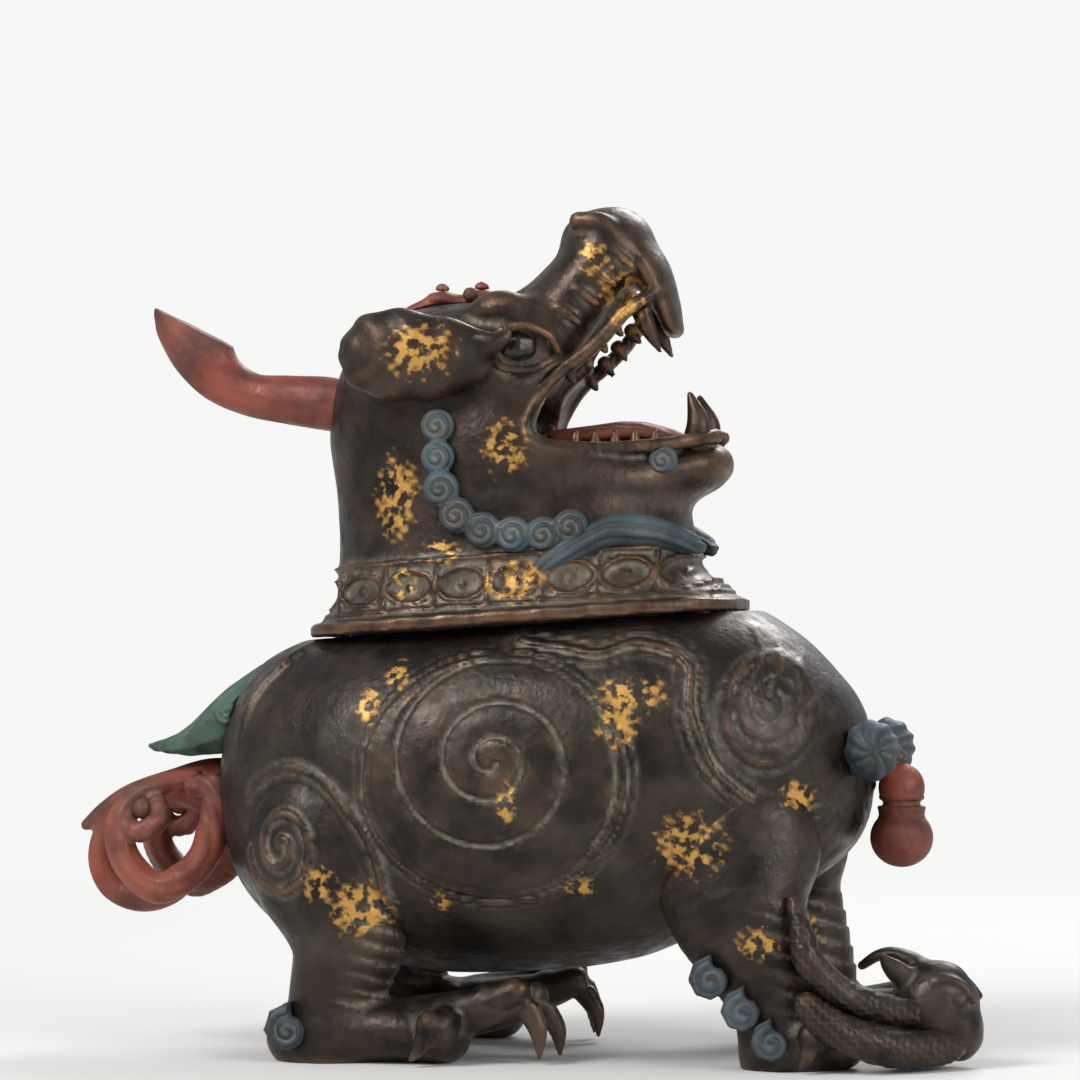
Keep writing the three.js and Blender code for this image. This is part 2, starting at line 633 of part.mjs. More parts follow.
function coverHead() {
  const hollowStations = [
    [COVER_X, 170, 3.7, MOUTH_HALF_LENGTH - 5, MOUTH_HALF_WIDTH - 5, 3],
    [COVER_X, 190, 3.7, MOUTH_HALF_LENGTH - 4.5, MOUTH_HALF_WIDTH - 5, 2.8],
    ...NECK.slice(4, 8).map(([x, z, tilt, long, wide, power]) => [x - 1, z, tilt, long - WALL, wide - WALL, power]),
    [-32, 266, 0, 46, 34, 2.1],
    [-36, 284, 0, 32, 26, 2],
    [-36, 292, 0, 14, 12, 2],
  ];
  const hollow = neck(0, hollowStations, 10);
  const jawFloor = limb([
    [-10, 0, 239, 14, 38], [40, 0, 239, 12, 30], [78, 0, 242, 12, 22],
  ], { sides: 10, steps: 4, power: 2.4 });
  const throat = limb([
    [-34, 0, 262, 16, 24], [-10, 0, 262, 13, 24], [14, 0, 268, 10, 23],
  ], { sides: 8, steps: 3 });
  const tongueWall = cut(
    deckPrism(MOUTH_HALF_LENGTH - TONGUE_CLEARANCE, MOUTH_HALF_WIDTH - TONGUE_CLEARANCE, -TONGUE_DEPTH, 6),
    deckPrism(MOUTH_HALF_LENGTH - 5, MOUTH_HALF_WIDTH - 5, -TONGUE_DEPTH - 4, 20),
  );
  const shell = cut(headSkin, cut(hollow, jawFloor), throat);
  return join(shell, tongueWall);
}

function horn() {
  const shaft = limb([
    [-74, 0, 268, 11, 11], [-90, 0, 272, 11.5, 11], [-108, 0, 274, 10.5, 10], [-125, 0, 276.5, 9.5, 9.5],
    [-139, 0, 284, 11, 10], [-147, 0, 295, 13.5, 11], [-153, 0, 306, 14, 10], [-158, 0, 316, 12, 8],
  ], { sides: 10, steps: 11 });
  const scoop = slab([[-172, 316.5], [-160, 311.5], [-145, 304], [-131, 296], [-120, 296], [-120, 345], [-172, 345]], -30, 30);
  return cut(shaft, scoop);
}

function ear() {
  return limb([
    [-10, -46, 294, 4, 3], [-20, -49, 290, 13, 7], [-34, -51, 288, 18, 10], [-49, -52, 289, 20.5, 11],
    [-62, -51, 290, 19, 10], [-70, -49, 291, 12, 7],
  ], { sides: 10, steps: 8, level: new THREE.Vector3(0, 1, 0) });
}

const MANE_CURLS = [[-33.5, 260], [-33, 247], [-31.5, 234], [-25, 223], [-14, 217], [-1.5, 215], [11, 215], [22, 218]];

function maneCurls() {
  const discs = MANE_CURLS.map(([x, z], i) => {
    const radius = i < 2 ? 6.2 : 7.2;
    const out = -54 + Math.max(z - 240, 0) * 0.12 + Math.max(x + 5, 0) * 0.13;
    return curl(x, out, z, radius, { turns: 1.25, thick: 6, rise: 1.8, steps: 6 });
  });
  const strip = MANE_CURLS.map(([x, z]) => [x, -50 + Math.max(z - 240, 0) * 0.12 + Math.max(x + 5, 0) * 0.13, z, 2.5, 3.5]);
  return join(...discs, limb(strip, { sides: 4, steps: 7 }));
}

function beardLock() {
  return limb([
    [6, -50, 198, 1.5, 3], [14, -49, 204, 4.5, 6], [26, -46, 212, 6, 8], [40, -41, 218, 7.5, 9],
    [54, -33, 217, 7, 9], [66, -22, 213, 5, 7], [71, -16, 210, 2, 3],
  ], { sides: 8, steps: 11 });
}

const fang = (x, y, z, tipX, tipY, tipZ, radius) =>
  limb([[x, y, z, radius, radius], [(x + tipX) / 2 - 1, (y + tipY) / 2, (z + tipZ) / 2, radius * 0.8, radius * 0.8],
    [tipX, tipY, tipZ, 0.8, 0.8]], { sides: 7, steps: 4, level: new THREE.Vector3(0.05, 1, 0) });

function tongue() {
  return limb([
    [4, 0, 256, 4, 14], [22, 0, 257, 5, 15], [40, 0, 258.5, 5.5, 13], [54, 0, 256.5, 4.5, 10], [62, 0, 255.5, 2.5, 6],
  ], { sides: 10, steps: 7 });
}

const CROWN_BEADS = [["front", -25, 0, 317.5], ["rear", -42, 0, 317], ["right", -27, -14, 314], ["left", -27, 14, 314]];

function crownPlate() {
  const petals = CROWN_BEADS.map(([, x, y, z]) => ball(x, y, z - 1.5, 8.5, 8.5, 4, 8, 4));
  const stem = limb([[-30, 0, 314, 4, 6], [-48, 0, 313, 4, 7], [-60, 0, 307, 3.5, 6]], { sides: 8, steps: 4 });
  return join(...petals, stem);
}

// Assembly. Each piece is trimmed to sit against the pieces that are already in place.

const beast = new THREE.Group();
const placed = [];

function boxOf(geometry) {
  return new THREE.Box3().setFromBufferAttribute(geometry.getAttribute("position")).expandByScalar(SEAM);
}

// outside: for a hollow casting, the solid form that later pieces are trimmed against.
function add(name, geometry, material, { outside = null, fitted = false } = {}) {
  const box = boxOf(geometry);
  const neighbours = fitted ? [] : placed.filter((other) => other.box.intersectsBox(box));
  const seated = neighbours.length ? seat(geometry, ...neighbours.map((other) => other.outside)) : geometry;
  placed.push({ outside: outside ?? seated, box: boxOf(seated) });
  const flat = seated.index ? seated.toNonIndexed() : seated;
  flat.computeVertexNormals();
  const mesh = new THREE.Mesh(flat, material);
  mesh.name = name;
  beast.add(mesh);
}

function addPair(name, right, material) {
  add(`${name}_right`, right, material);
  add(`${name}_left`, mirrored(right), material);
}

add("vessel_body", vesselBody(), bronze, { outside: bellySkin });
add("cover_head", coverHead(), russet, { outside: headSkin, fitted: true });

addPair("hind_leg", hindLeg(), bronze);
add("fore_leg_right", cut(foreLeg(), groundTool), bronze);
add("fore_leg_left", cut(mirrored(join(foreLeg(), foreToes())), groundTool), bronze);
add("serpent_head", serpentHead(), dusty);
const coils = serpentCoils();
add("serpent_coil_upper", coils.upper, bronze);
add("serpent_coil_lower", coils.lower, bronze);

addPair("heel_scroll", cut(curl(-90, -74, 13.5, 11.5, { turns: 1.75, thick: 14, steps: 8 }), groundTool), azurite);
const FORE_CURLS = [[84, 36.5, 10.5], [97, 24, 10.5], [108.5, 12, 10]];
FORE_CURLS.forEach(([x, z, radius], i) => {
  const disc = curl(x, -76, z, radius, { turns: 1.75, thick: 16, steps: 8 });
  addPair(`fore_scroll_${i + 1}`, cut(disc, groundTool), azurite);
});

add("rump_leaf", rumpLeaf(), malachite);
add("tail_root", tailRoot(), cinnabar);
addPair("tail_curl", tailCurl(), cinnabar);
addPair("tail_bead", ball(-164.5, -28, 101.5, 5, 6, 5, 8, 6), cinnabar);
addPair("leaf_scroll", curl(-128, -28, 142, 7, { turns: 1.5, thick: 14, steps: 8 }), malachite);

add("gourd_bell", gourdBell(), cinnabar);
const lug = limb([[136, 0, 128, 6, 8], [146, 0, 127, 5, 6], [152, 0, 121, 4, 4.5]], { sides: 8, steps: 4 });
add("bell_lug", lug, russet);
addPair("chest_tuft", chestTuft(), azurite);

add("horn", horn(), cinnabar);
addPair("ear", ear(), russet);
addPair("eye", ball(-4, -31, 293, 11, 11, 10.5, 10, 7), dusty);
addPair("mane_curls", maneCurls(), azurite);
addPair("beard_lock", beardLock(), azurite);
add("mouth_tongue", tongue(), cinnabar);
addPair("lower_fang", fang(68, -14, 252, 65, -13, 275, 4.5), bronze);
addPair("upper_fang", fang(45, -17, 312, 54, -15, 291, 5), russet);
addPair("chin_curl", curl(62, -29, 245, 5, { turns: 1.25, thick: 8, steps: 8, lean: 0.5 }), azurite);
add("crown_plate", crownPlate(), cinnabar);
CROWN_BEADS.forEach(([name, x, y, z]) => {
  add(`crown_bead_${name}`, ball(x, y, z + 2.5, 3.6, 3.6, 3.4, 8, 6), cinnabar);
});

// The origin is the middle of the object's base.
const box = new THREE.Box3().setFromObject(beast);
beast.position.set(-(box.min.x + box.max.x) / 2, -(box.min.y + box.max.y) / 2, 0);

export default beast;
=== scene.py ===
"""Looks of a bronze incense burner in the shape of a standing beast.

The castings are modelled as distance fields in millimetres, in the beast's own frame: +X the
way it faces, z = 0 the ground. They are meshed, given their relief, and placed in metres.
"""
import json
import math

import bpy
import numpy as np
import openvdb
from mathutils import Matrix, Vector


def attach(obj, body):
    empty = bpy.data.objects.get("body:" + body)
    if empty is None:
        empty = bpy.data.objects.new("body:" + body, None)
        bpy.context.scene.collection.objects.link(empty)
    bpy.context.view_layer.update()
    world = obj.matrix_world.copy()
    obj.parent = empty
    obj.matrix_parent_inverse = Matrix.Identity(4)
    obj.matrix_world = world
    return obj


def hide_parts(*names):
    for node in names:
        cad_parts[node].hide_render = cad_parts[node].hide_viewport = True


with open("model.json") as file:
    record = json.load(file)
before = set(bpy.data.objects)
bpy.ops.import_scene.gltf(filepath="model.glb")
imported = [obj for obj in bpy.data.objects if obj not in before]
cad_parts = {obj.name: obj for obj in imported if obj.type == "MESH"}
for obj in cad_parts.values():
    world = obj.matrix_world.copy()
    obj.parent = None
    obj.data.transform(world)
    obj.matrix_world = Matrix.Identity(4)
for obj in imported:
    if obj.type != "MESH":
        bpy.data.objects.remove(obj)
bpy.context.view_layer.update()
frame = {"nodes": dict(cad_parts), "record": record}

MM = 0.001
BEAST_TO_ROW = 6.28  # the row's origin is the middle of its box's base, this far behind the beast's own
WALL = 4.5
DECK_HEIGHT = 178.4  # of the mouth's plane, which rises towards the chest
DECK_SLOPE = math.tan(math.radians(3.7))
COVER_X = -4.0  # the middle of the mouth and of the cover
MOUTH_LONG, MOUTH_WIDE = 76.0, 47.0  # half sizes
MOUTH_POWER = 3  # squareness of the mouth's outline
RUMP_X = -136.0
CHEST_X = 141.0
FAR = 60.0  # distance given to empty space
NOWHERE = 1e9  # a distance that any other is less than
MARGIN = 6.0  # space worked out round a limb
THINNEST = 0.4  # the least half width of a limb
LEAST = 0.3  # the least half size that an inset leaves
HANDS = {-1: "right", 1: "left"}  # by the sign of y

# Smooth curves


def profile(pairs):
    """A curve through (x, value) pairs that never overshoots them."""
    xs = np.array([p[0] for p in pairs], float)
    ys = np.array([p[1] for p in pairs], float)
    slopes = np.diff(ys) / np.diff(xs)
    tangents = np.empty_like(ys)
    tangents[0] = slopes[0]
    tangents[-1] = slopes[-1]
    for i in range(1, len(ys) - 1):
        before, after = slopes[i - 1], slopes[i]
        tangents[i] = 0 if before * after <= 0 else 2 * before * after / (before + after)

    def read(x):
        i = np.clip(np.searchsorted(xs, x, side="right") - 1, 0, len(xs) - 2)
        width = xs[i + 1] - xs[i]
        t = np.clip((x - xs[i]) / width, 0, 1)
        rise = ys[i + 1] - ys[i]
        first, last = tangents[i] * width, tangents[i + 1] * width
        return ys[i] + t * first + t**2 * (3 * rise - 2 * first - last) + t**3 * (first + last - 2 * rise)

    return read


def smooth_path(points, count):
    """Points spaced along a curve through the given ones (any number of columns)."""
    knots = np.array(points, float)
    padded = np.vstack([2 * knots[0] - knots[1], knots, 2 * knots[-1] - knots[-2]])
    places = np.linspace(0, len(knots) - 1, count)
    i = np.minimum(places.astype(int), len(knots) - 2)
    t = (places - i)[:, None]
    a, b, c, d = padded[i], padded[i + 1], padded[i + 2], padded[i + 3]
    return 0.5 * (2 * b + (c - a) * t + (2 * a - 5 * b + 4 * c - d) * t**2 + (3 * b - a - 3 * c + d) * t**3)


def distance_to_line(x, z, points, count=60):
    """Distance in the XZ plane from each x, z to a smooth line through the points."""
    line = smooth_path(points, count)
    best = np.full(np.broadcast(x, z).shape, NOWHERE)
    for (ax, az), (bx, bz) in zip(line[:-1], line[1:]):
        ux, uz = bx - ax, bz - az
        t = np.clip(((x - ax) * ux + (z - az) * uz) / max(ux * ux + uz * uz, 1e-9), 0, 1)
        best = np.minimum(best, (x - ax - t * ux) ** 2 + (z - az - t * uz) ** 2)
    return np.sqrt(best)


def bump(distance, width):
    """A rounded ridge: 1 on the line, 0 beyond width."""
    return np.clip(1 - (distance / width) ** 2, 0, 1) ** 1.5


# Distance fields


def smooth_min(a, b, blend):
    if blend <= 0:
        return np.minimum(a, b)
    share = np.clip(0.5 + 0.5 * (b - a) / blend, 0, 1)
    return b * (1 - share) + a * share - blend * share * (1 - share)


class Field:
    """A block of space sampled every step millimetres. Inside a solid the value is negative."""

    def __init__(self, low, high, step):
        self.low = np.array(low, float)
        self.step = step
        counts = np.ceil((np.array(high, float) - self.low) / step).astype(int) + 1
        axes = [self.low[i] + step * np.arange(counts[i]) for i in range(3)]
        self.x = axes[0][:, None, None]
        self.y = axes[1][None, :, None]
        self.z = axes[2][None, None, :]
        self.value = np.full(counts, FAR, np.float32)

    def add(self, distance, blend=0.0):
        self.value = smooth_min(self.value, distance.astype(np.float32), blend)

    def cut(self, distance, blend=0.0):
        self.value = -smooth_min(-self.value, distance.astype(np.float32), blend)

    def part(self, low, high):
        """The slices of the block between two corners."""
        shape = np.array(self.value.shape)
        first = np.clip(np.floor((low - self.low) / self.step).astype(int), 0, shape)
        last = np.clip(np.ceil((high - self.low) / self.step).astype(int) + 1, 0, shape)
        return tuple(slice(int(a), int(b)) for a, b in zip(first, last))

    def limb(self, stations, blend, samples=28, carve=False):
        """A swept form through stations of x, y, z, half depth, half width."""
        path = smooth_path(stations, samples)
        reach = path[:, 3:].max(1)[:, None]
        low = (path[:, :3] - reach).min(0) - MARGIN - blend
        high = (path[:, :3] + reach).max(0) + MARGIN + blend
        box = self.part(low, high)
        x = self.x[box[0], :, :]
        y = self.y[:, box[1], :]
        z = self.z[:, :, box[2]]
        local = np.full(self.value[box].shape, FAR, np.float32)
        tangents = np.gradient(path[:, :3], axis=0)
        for point, tangent in zip(path, tangents):
            centre, deep, wide = point[:3], max(point[3], THINNEST), max(point[4], THINNEST)
            along = tangent / np.linalg.norm(tangent)
            across = np.array([0, 1.0, 0]) - along[1] * along
            across /= np.linalg.norm(across)
            up = np.cross(along, across)
            rx, ry, rz = x - centre[0], y - centre[1], z - centre[2]
            length = max(np.linalg.norm(tangent), min(deep, wide))
            a = (rx * along[0] + ry * along[1] + rz * along[2]) / length
            b = (rx * across[0] + ry * across[1] + rz * across[2]) / wide
            c = (rx * up[0] + ry * up[1] + rz * up[2]) / deep
            local = np.minimum(local, (np.sqrt(a * a + b * b + c * c) - 1) * min(deep, wide))
        if carve:
            self.value[box] = -smooth_min(-self.value[box], local, blend)
        else:
            self.value[box] = smooth_min(self.value[box], local, blend)

    def ball(self, centre, halves, blend):
        x, y, z = ((axis - c) / h for axis, c, h in zip((self.x, self.y, self.z), centre, halves))
        self.add((np.sqrt(x * x + y * y + z * z) - 1) * min(halves), blend)

    def surface(self, side=-1):
        """Points and quads of the solid's skin; side 1 gives the left-hand twin."""
        grid = openvdb.FloatGrid(FAR)
        grid.copyFromArray(self.value)
        points, quads = grid.convertToQuads(isovalue=0.0)
        points = points * self.step + self.low
        return (mirrored(points), quads[:, ::-1]) if side > 0 else (points, quads)


# Pieces


def body_of_node(node):
    """The body that a node rides on."""
    return next(body for body, nodes in frame["record"]["behaviour"]["bodies"].items() if node in nodes)


def neighbour_means(points, edges):
    """The mean of each point's neighbours along the edges."""
    total = np.zeros_like(points)
    count = np.zeros(len(points))
    for a, b in ((0, 1), (1, 0)):
        np.add.at(total, edges[:, a], points[edges[:, b]])
        np.add.at(count, edges[:, a], 1)
    return total / np.maximum(count, 1)[:, None]


DUST_ROUNDS = 5  # rounds of averaging that show how hollow a place is
FULL_HOLLOW = 0.5  # the depth that counts as wholly hollow


def mark_dust(mesh, points, normals):
    """Stores how hollow the surface is at each point, for dust, and how proud, for wear."""
    edges = np.empty(len(mesh.edges) * 2, np.int32)
    mesh.edges.foreach_get("vertices", edges)
    edges = edges.reshape(-1, 2)
    mean = points
    for _ in range(DUST_ROUNDS):
        mean = neighbour_means(mean, edges)
    depth = ((mean - points) * normals).sum(1)
    for name, values in (("hollow", depth), ("proud", -depth)):
        layer = mesh.attributes.new(name, "FLOAT", "POINT")
        layer.data.foreach_set("value", np.clip(values / FULL_HOLLOW, 0, 1).astype(np.float32))


# Places of the gold leaf that remains: x, z, half length, half height
LEAF_ON_VESSEL = [
    (-45, 158, 5, 6), (-56, 145, 5, 7), (52, 150, 14, 7), (47, 138, 8, 9), (75, 90, 13, 12),
    (116, 109, 6, 6), (-59, 63, 12, 11), (-76, 73, 7, 7), (104, 51, 9, 6), (-26, 67, 4, 4), (31, 73, 6, 4),
    (3, 106, 4, 9),
]
LEAF_ON_COVER = [
    (-47, 194, 6, 7), (-32, 208, 7, 5), (-1, 196, 13, 8), (-52, 231, 9, 17), (-39, 290, 14, 11),
    (-5, 251, 9, 11), (27, 330, 6, 7), (39, 314, 9, 13),
]


def mark_leaf(mesh, points, places):
    """Stores how much gold leaf is left at each point, in patches with a ragged edge."""
    x, z = points[:, 0], points[:, 2]
    ragged = 0.35 * np.sin(x * 0.9 + np.sin(z * 0.7)) * np.sin(z * 1.1 + 1)
    share = np.zeros(len(points))
    for patch_x, patch_z, long, high in places:
        reach = np.sqrt(((x - patch_x) / long) ** 2 + ((z - patch_z) / high) ** 2)
        share = np.maximum(share, np.clip((1.05 - reach + ragged) * 2.5, 0, 1))
    layer = mesh.attributes.new("leaf", "FLOAT", "POINT")
    layer.data.foreach_set("value", share.astype(np.float32))


def piece(name, points, faces, body, nodes, material, relief=None):
    """A mesh from points in millimetres, placed on its body in place of its nodes."""
    first = points[faces[:, 0]]
    turn = np.cross(points[faces[:, 1]] - first, points[faces[:, 2]] - first)
    inside_out = (turn * first).sum() < 0
    if inside_out:
        faces = faces[:, ::-1]
    mesh = bpy.data.meshes.new(name)
    mesh.from_pydata(points, [], faces.tolist())
    mesh.update()
    normals = np.empty(len(points) * 3, np.float32)
    mesh.vertex_normals.foreach_get("vector", normals)
    normals = normals.reshape(-1, 3)
    if relief:
        points = points + normals * relief(points, normals)[:, None]
    mark_dust(mesh, points, normals)
    mark_leaf(mesh, points, LEAF_ON_COVER if body == "cover" else LEAF_ON_VESSEL)
    placed = (points + np.array([BEAST_TO_ROW, 0, 0])) * MM
    mesh.vertices.foreach_set("co", placed.astype(np.float32).ravel())
    mesh.polygons.foreach_set("use_smooth", np.ones(len(mesh.polygons), bool))
    mesh.update()
    made = bpy.data.objects.new(name, mesh)
    bpy.context.scene.collection.objects.link(made)
    made.data.materials.append(material)
    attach(made, body)
    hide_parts(*nodes)


def mirrored(points):
    return points * np.array([1, -1, 1])


SOFT_VOXEL = 0.8
SOFT_ROUNDS = 8


def softened(node, material, relief):
    """A CAD casting with its facets melted into a smooth surface."""
    source = frame["nodes"][node]
    copy = bpy.data.objects.new(f"soft_{node}", source.data.copy())
    bpy.context.scene.collection.objects.link(copy)
    remesh = copy.modifiers.new("remesh", "REMESH")
    remesh.mode = "VOXEL"
    remesh.voxel_size = SOFT_VOXEL * MM
    relax = copy.modifiers.new("relax", "SMOOTH")
    relax.iterations = SOFT_ROUNDS
    done = copy.evaluated_get(bpy.context.evaluated_depsgraph_get()).to_mesh()
    points = np.empty(len(done.vertices) * 3, np.float32)
    done.vertices.foreach_get("co", points)
    points = points.reshape(-1, 3) / MM - np.array([BEAST_TO_ROW, 0, 0])
    faces = np.array([list(p.vertices) for p in done.polygons if len(p.vertices) == 4])
    bpy.data.objects.remove(copy)
    piece(f"look_{node}", points, faces, body_of_node(node), [node], material, relief)


# Materials


def mix(tree, share, first, second):
    """The first colour where share is 0 and the second where it is 1."""
    node = tree.nodes.new("ShaderNodeMix")
    node.data_type = "RGBA"
    share_socket, first_socket, second_socket = 0, 6, 7
    for socket, value in ((share_socket, share), (first_socket, first), (second_socket, second)):
        if isinstance(value, bpy.types.NodeSocket):
            tree.links.new(value, node.inputs[socket])
        else:
            node.inputs[socket].default_value = value
    return node.outputs[2]


def clouds(tree, scale, low, high, detail=6.0):
    """Cloudy noise over the object: 0 up to low and 1 from high on."""
    coordinates = tree.nodes.new("ShaderNodeTexCoord")
    noise = tree.nodes.new("ShaderNodeTexNoise")
    noise.inputs["Scale"].default_value = scale
    noise.inputs["Detail"].default_value = detail
    ramp = tree.nodes.new("ShaderNodeMapRange")
    ramp.inputs["From Min"].default_value = low
    ramp.inputs["From Max"].default_value = high
    tree.links.new(coordinates.outputs["Object"], noise.inputs["Vector"])
    tree.links.new(noise.outputs["Fac"], ramp.inputs["Value"])
    return ramp.outputs["Result"]


def attribute(tree, name):
    """A value that is stored at the mesh's points."""
    node = tree.nodes.new("ShaderNodeAttribute")
    node.attribute_name = name
    return node.outputs["Fac"]


def combined(tree, a, b, operation="MULTIPLY"):
    """Both values multiplied, or put together by another operation, and kept within 0 and 1."""
    node = tree.nodes.new("ShaderNodeMath")
    node.operation = operation
    node.use_clamp = True
    for socket, value in zip(node.inputs, (a, b)):
        if isinstance(value, bpy.types.NodeSocket):
            tree.links.new(value, socket)
        else:
            socket.default_value = value
    return node.outputs[0]


DUST = (0.24, 0.205, 0.15, 1)
GOLD = (0.52, 0.28, 0.065, 1)
FILM = 0.22  # the dust that lies on open faces
DULLEST = 0.95
GRAIN_STRENGTH = 0.35
GRAIN_DEPTH = 0.0006


def finish(name, dark, light, worn, metal, rough, dust=0.8):
    """Patina of two tones, worn on the highs, dusty in the hollows, with remains of gold leaf."""
    material = bpy.data.materials.new(name)
    material.use_nodes = True
    tree = material.node_tree
    shader = tree.nodes["Principled BSDF"]
    shader.inputs["Metallic"].default_value = metal
    tone = mix(tree, clouds(tree, 45, 0.38, 0.62), (*dark, 1), (*light, 1))
    wear = combined(tree, attribute(tree, "proud"), clouds(tree, 90, 0.35, 0.6))
    tone = mix(tree, wear, tone, (*worn, 1))
    settled = combined(tree, attribute(tree, "hollow"), clouds(tree, 160, 0.25, 0.6))
    film = combined(tree, clouds(tree, 28, 0.5, 0.75), FILM)
    dirt = combined(tree, combined(tree, settled, film, "ADD"), dust)
    tone = mix(tree, dirt, tone, DUST)
    leaf = combined(tree, attribute(tree, "leaf"), clouds(tree, 240, 0.46, 0.54))
    tone = mix(tree, leaf, tone, GOLD)
    tree.links.new(tone, shader.inputs["Base Color"])
    shine = tree.nodes.new("ShaderNodeMapRange")
    shine.inputs["To Min"].default_value = rough
    shine.inputs["To Max"].default_value = min(rough + 0.3, DULLEST)
    spots = combined(tree, clouds(tree, 120, 0.35, 0.7), dirt, "ADD")
    tree.links.new(spots, shine.inputs["Value"])
    tree.links.new(shine.outputs["Result"], shader.inputs["Roughness"])
    bumps = tree.nodes.new("ShaderNodeBump")
    bumps.inputs["Strength"].default_value = GRAIN_STRENGTH
    bumps.inputs["Distance"].default_value = GRAIN_DEPTH
    tree.links.new(clouds(tree, 330, 0.2, 0.8, 9.0), bumps.inputs["Height"])
    tree.links.new(bumps.outputs["Normal"], shader.inputs["Normal"])
    return material


bronze = finish(
    "dark_bronze", (0.010, 0.008, 0.007), (0.030, 0.020, 0.015), (0.115, 0.068, 0.040),
    metal=0.55, rough=0.28)
russet = finish(
    "brown_bronze", (0.013, 0.009, 0.007), (0.044, 0.025, 0.016), (0.15, 0.08, 0.042),
    metal=0.55, rough=0.26)
cinnabar = finish(
    "red_lacquer", (0.10, 0.022, 0.014), (0.30, 0.062, 0.034), (0.08, 0.05, 0.035),
    metal=0.1, rough=0.4, dust=0.6)
malachite = finish(
    "green_pigment", (0.022, 0.045, 0.036), (0.07, 0.15, 0.11), (0.05, 0.035, 0.025),
    metal=0.15, rough=0.5)
azurite = finish(
    "blue_pigment", (0.018, 0.034, 0.046), (0.055, 0.095, 0.12), (0.05, 0.035, 0.026),
    metal=0.2, rough=0.45)
dusty = finish(
    "dusty_bronze", (0.05, 0.042, 0.032), (0.13, 0.105, 0.075), (0.16, 0.12, 0.08),
    metal=0.3, rough=0.55, dust=1.0)
glossy = finish(
    "eye_black", (0.006, 0.005, 0.004), (0.02, 0.014, 0.01), (0.05, 0.03, 0.02),
    metal=0.1, rough=0.12, dust=0.2)

# Belly: x against the height of its back and underside, and half its width
top_line = profile([
    (-136, 105), (-133, 128), (-126, 150), (-115, 164), (-96, 173), (-60, 182), (0, 188),
    (50, 190), (88, 186), (107, 176), (124, 160), (137, 141), (141, 112)])
bottom_line = profile([
    (-136, 105), (-131, 82), (-120, 62), (-103, 48), (-70, 38), (-30, 33), (12, 35),
    (43, 40), (68, 50), (100, 64), (120, 76), (132, 87), (138, 98), (141, 112)])
half_width = profile([
    (-136, 0), (-133, 22), (-126, 40), (-112, 56), (-90, 70), (-50, 82), (0, 85),
    (45, 83), (80, 75), (105, 63), (125, 46), (136, 26), (141, 0)])
BELLY_POWER = 2.35  # squareness of the belly's section
S_RIDGE = [
    (4, 172), (24, 169), (37, 167), (51, 171), (66, 168), (74, 162), (75, 154), (76, 142), (83, 123),
    (95, 110), (110, 102), (124, 103)]
HAUNCH_SCROLL = [
    (-112, 108), (-106, 114), (-92, 120), (-76, 115), (-64, 103), (-54, 88), (-50, 66), (-52, 48),
    (-60, 36)]

# The flank spiral's groove: its radius against turns, counted clockwise from straight below
GROOVE = profile([
    (-1.25, 3), (-1, 4.5), (-0.75, 6.5), (-0.5, 9), (-0.25, 12.5), (0, 16), (0.25, 19), (0.5, 22.5),
    (0.75, 29), (1, 34.5), (1.25, 37.5), (1.5, 40), (1.75, 49), (1.9, 54)])
FIRST_TURN, LAST_TURN = -1.25, 1.9
BAND_EDGE = 6.5  # the width over which a band rounds off towards the groove

# Centre, scale and rim of each spiral; a rim is its own centre, half length and half height
FLANK_SPIRAL = ((-4.0, 124.0), (1.04, 1.0), (-3, 117, 53.5, 48.5))
SHOULDER_SPIRAL = ((106, 146), (0.38, 0.48), (105, 144, 17, 22))


def snail(x, z, centre, scale, rim):
    """A snail shell in low relief: rounded bands between the turns of one groove, inside a rim."""
    dx, dz = (x - centre[0]) / scale[0], (z - centre[1]) / scale[1]
    radius = np.hypot(dx, dz)
    turned = np.mod(np.arctan2(-dx, -dz) / (2 * math.pi), 1)
    groove = np.full(radius.shape, NOWHERE)
    for lap in range(math.floor(FIRST_TURN), math.ceil(LAST_TURN)):
        turns = turned + lap
        near = np.abs(radius - GROOVE(turns))
        groove = np.minimum(groove, np.where((turns > FIRST_TURN) & (turns < LAST_TURN), near, NOWHERE))
    ring_x, ring_z, ring_long, ring_high = rim
    ring_size = min(ring_long, ring_high)
    outer = np.hypot((x - ring_x) / ring_long, (z - ring_z) / ring_high)
    edge = (1 - outer) * ring_size / min(scale)
    reach = np.clip(np.minimum(groove, edge) / BAND_EDGE, 0, 1)
    pillow = np.sqrt(reach * (2 - reach)) * (edge > 0)
    line = bump(groove - 2.1, 0.9) * (edge > 0)
    border = bump((outer - 1) * ring_size, 1.5)
    border = np.maximum(border, 0.8 * bump((outer - 1.055) * ring_size, 1.1))
    return pillow, np.maximum(line * 0.35, border)


CHEST_LOCKS = 5
RUMP_LOCKS = 4
RELIEF_SHARE = 0.85  # keeps the ornament within the casting's box


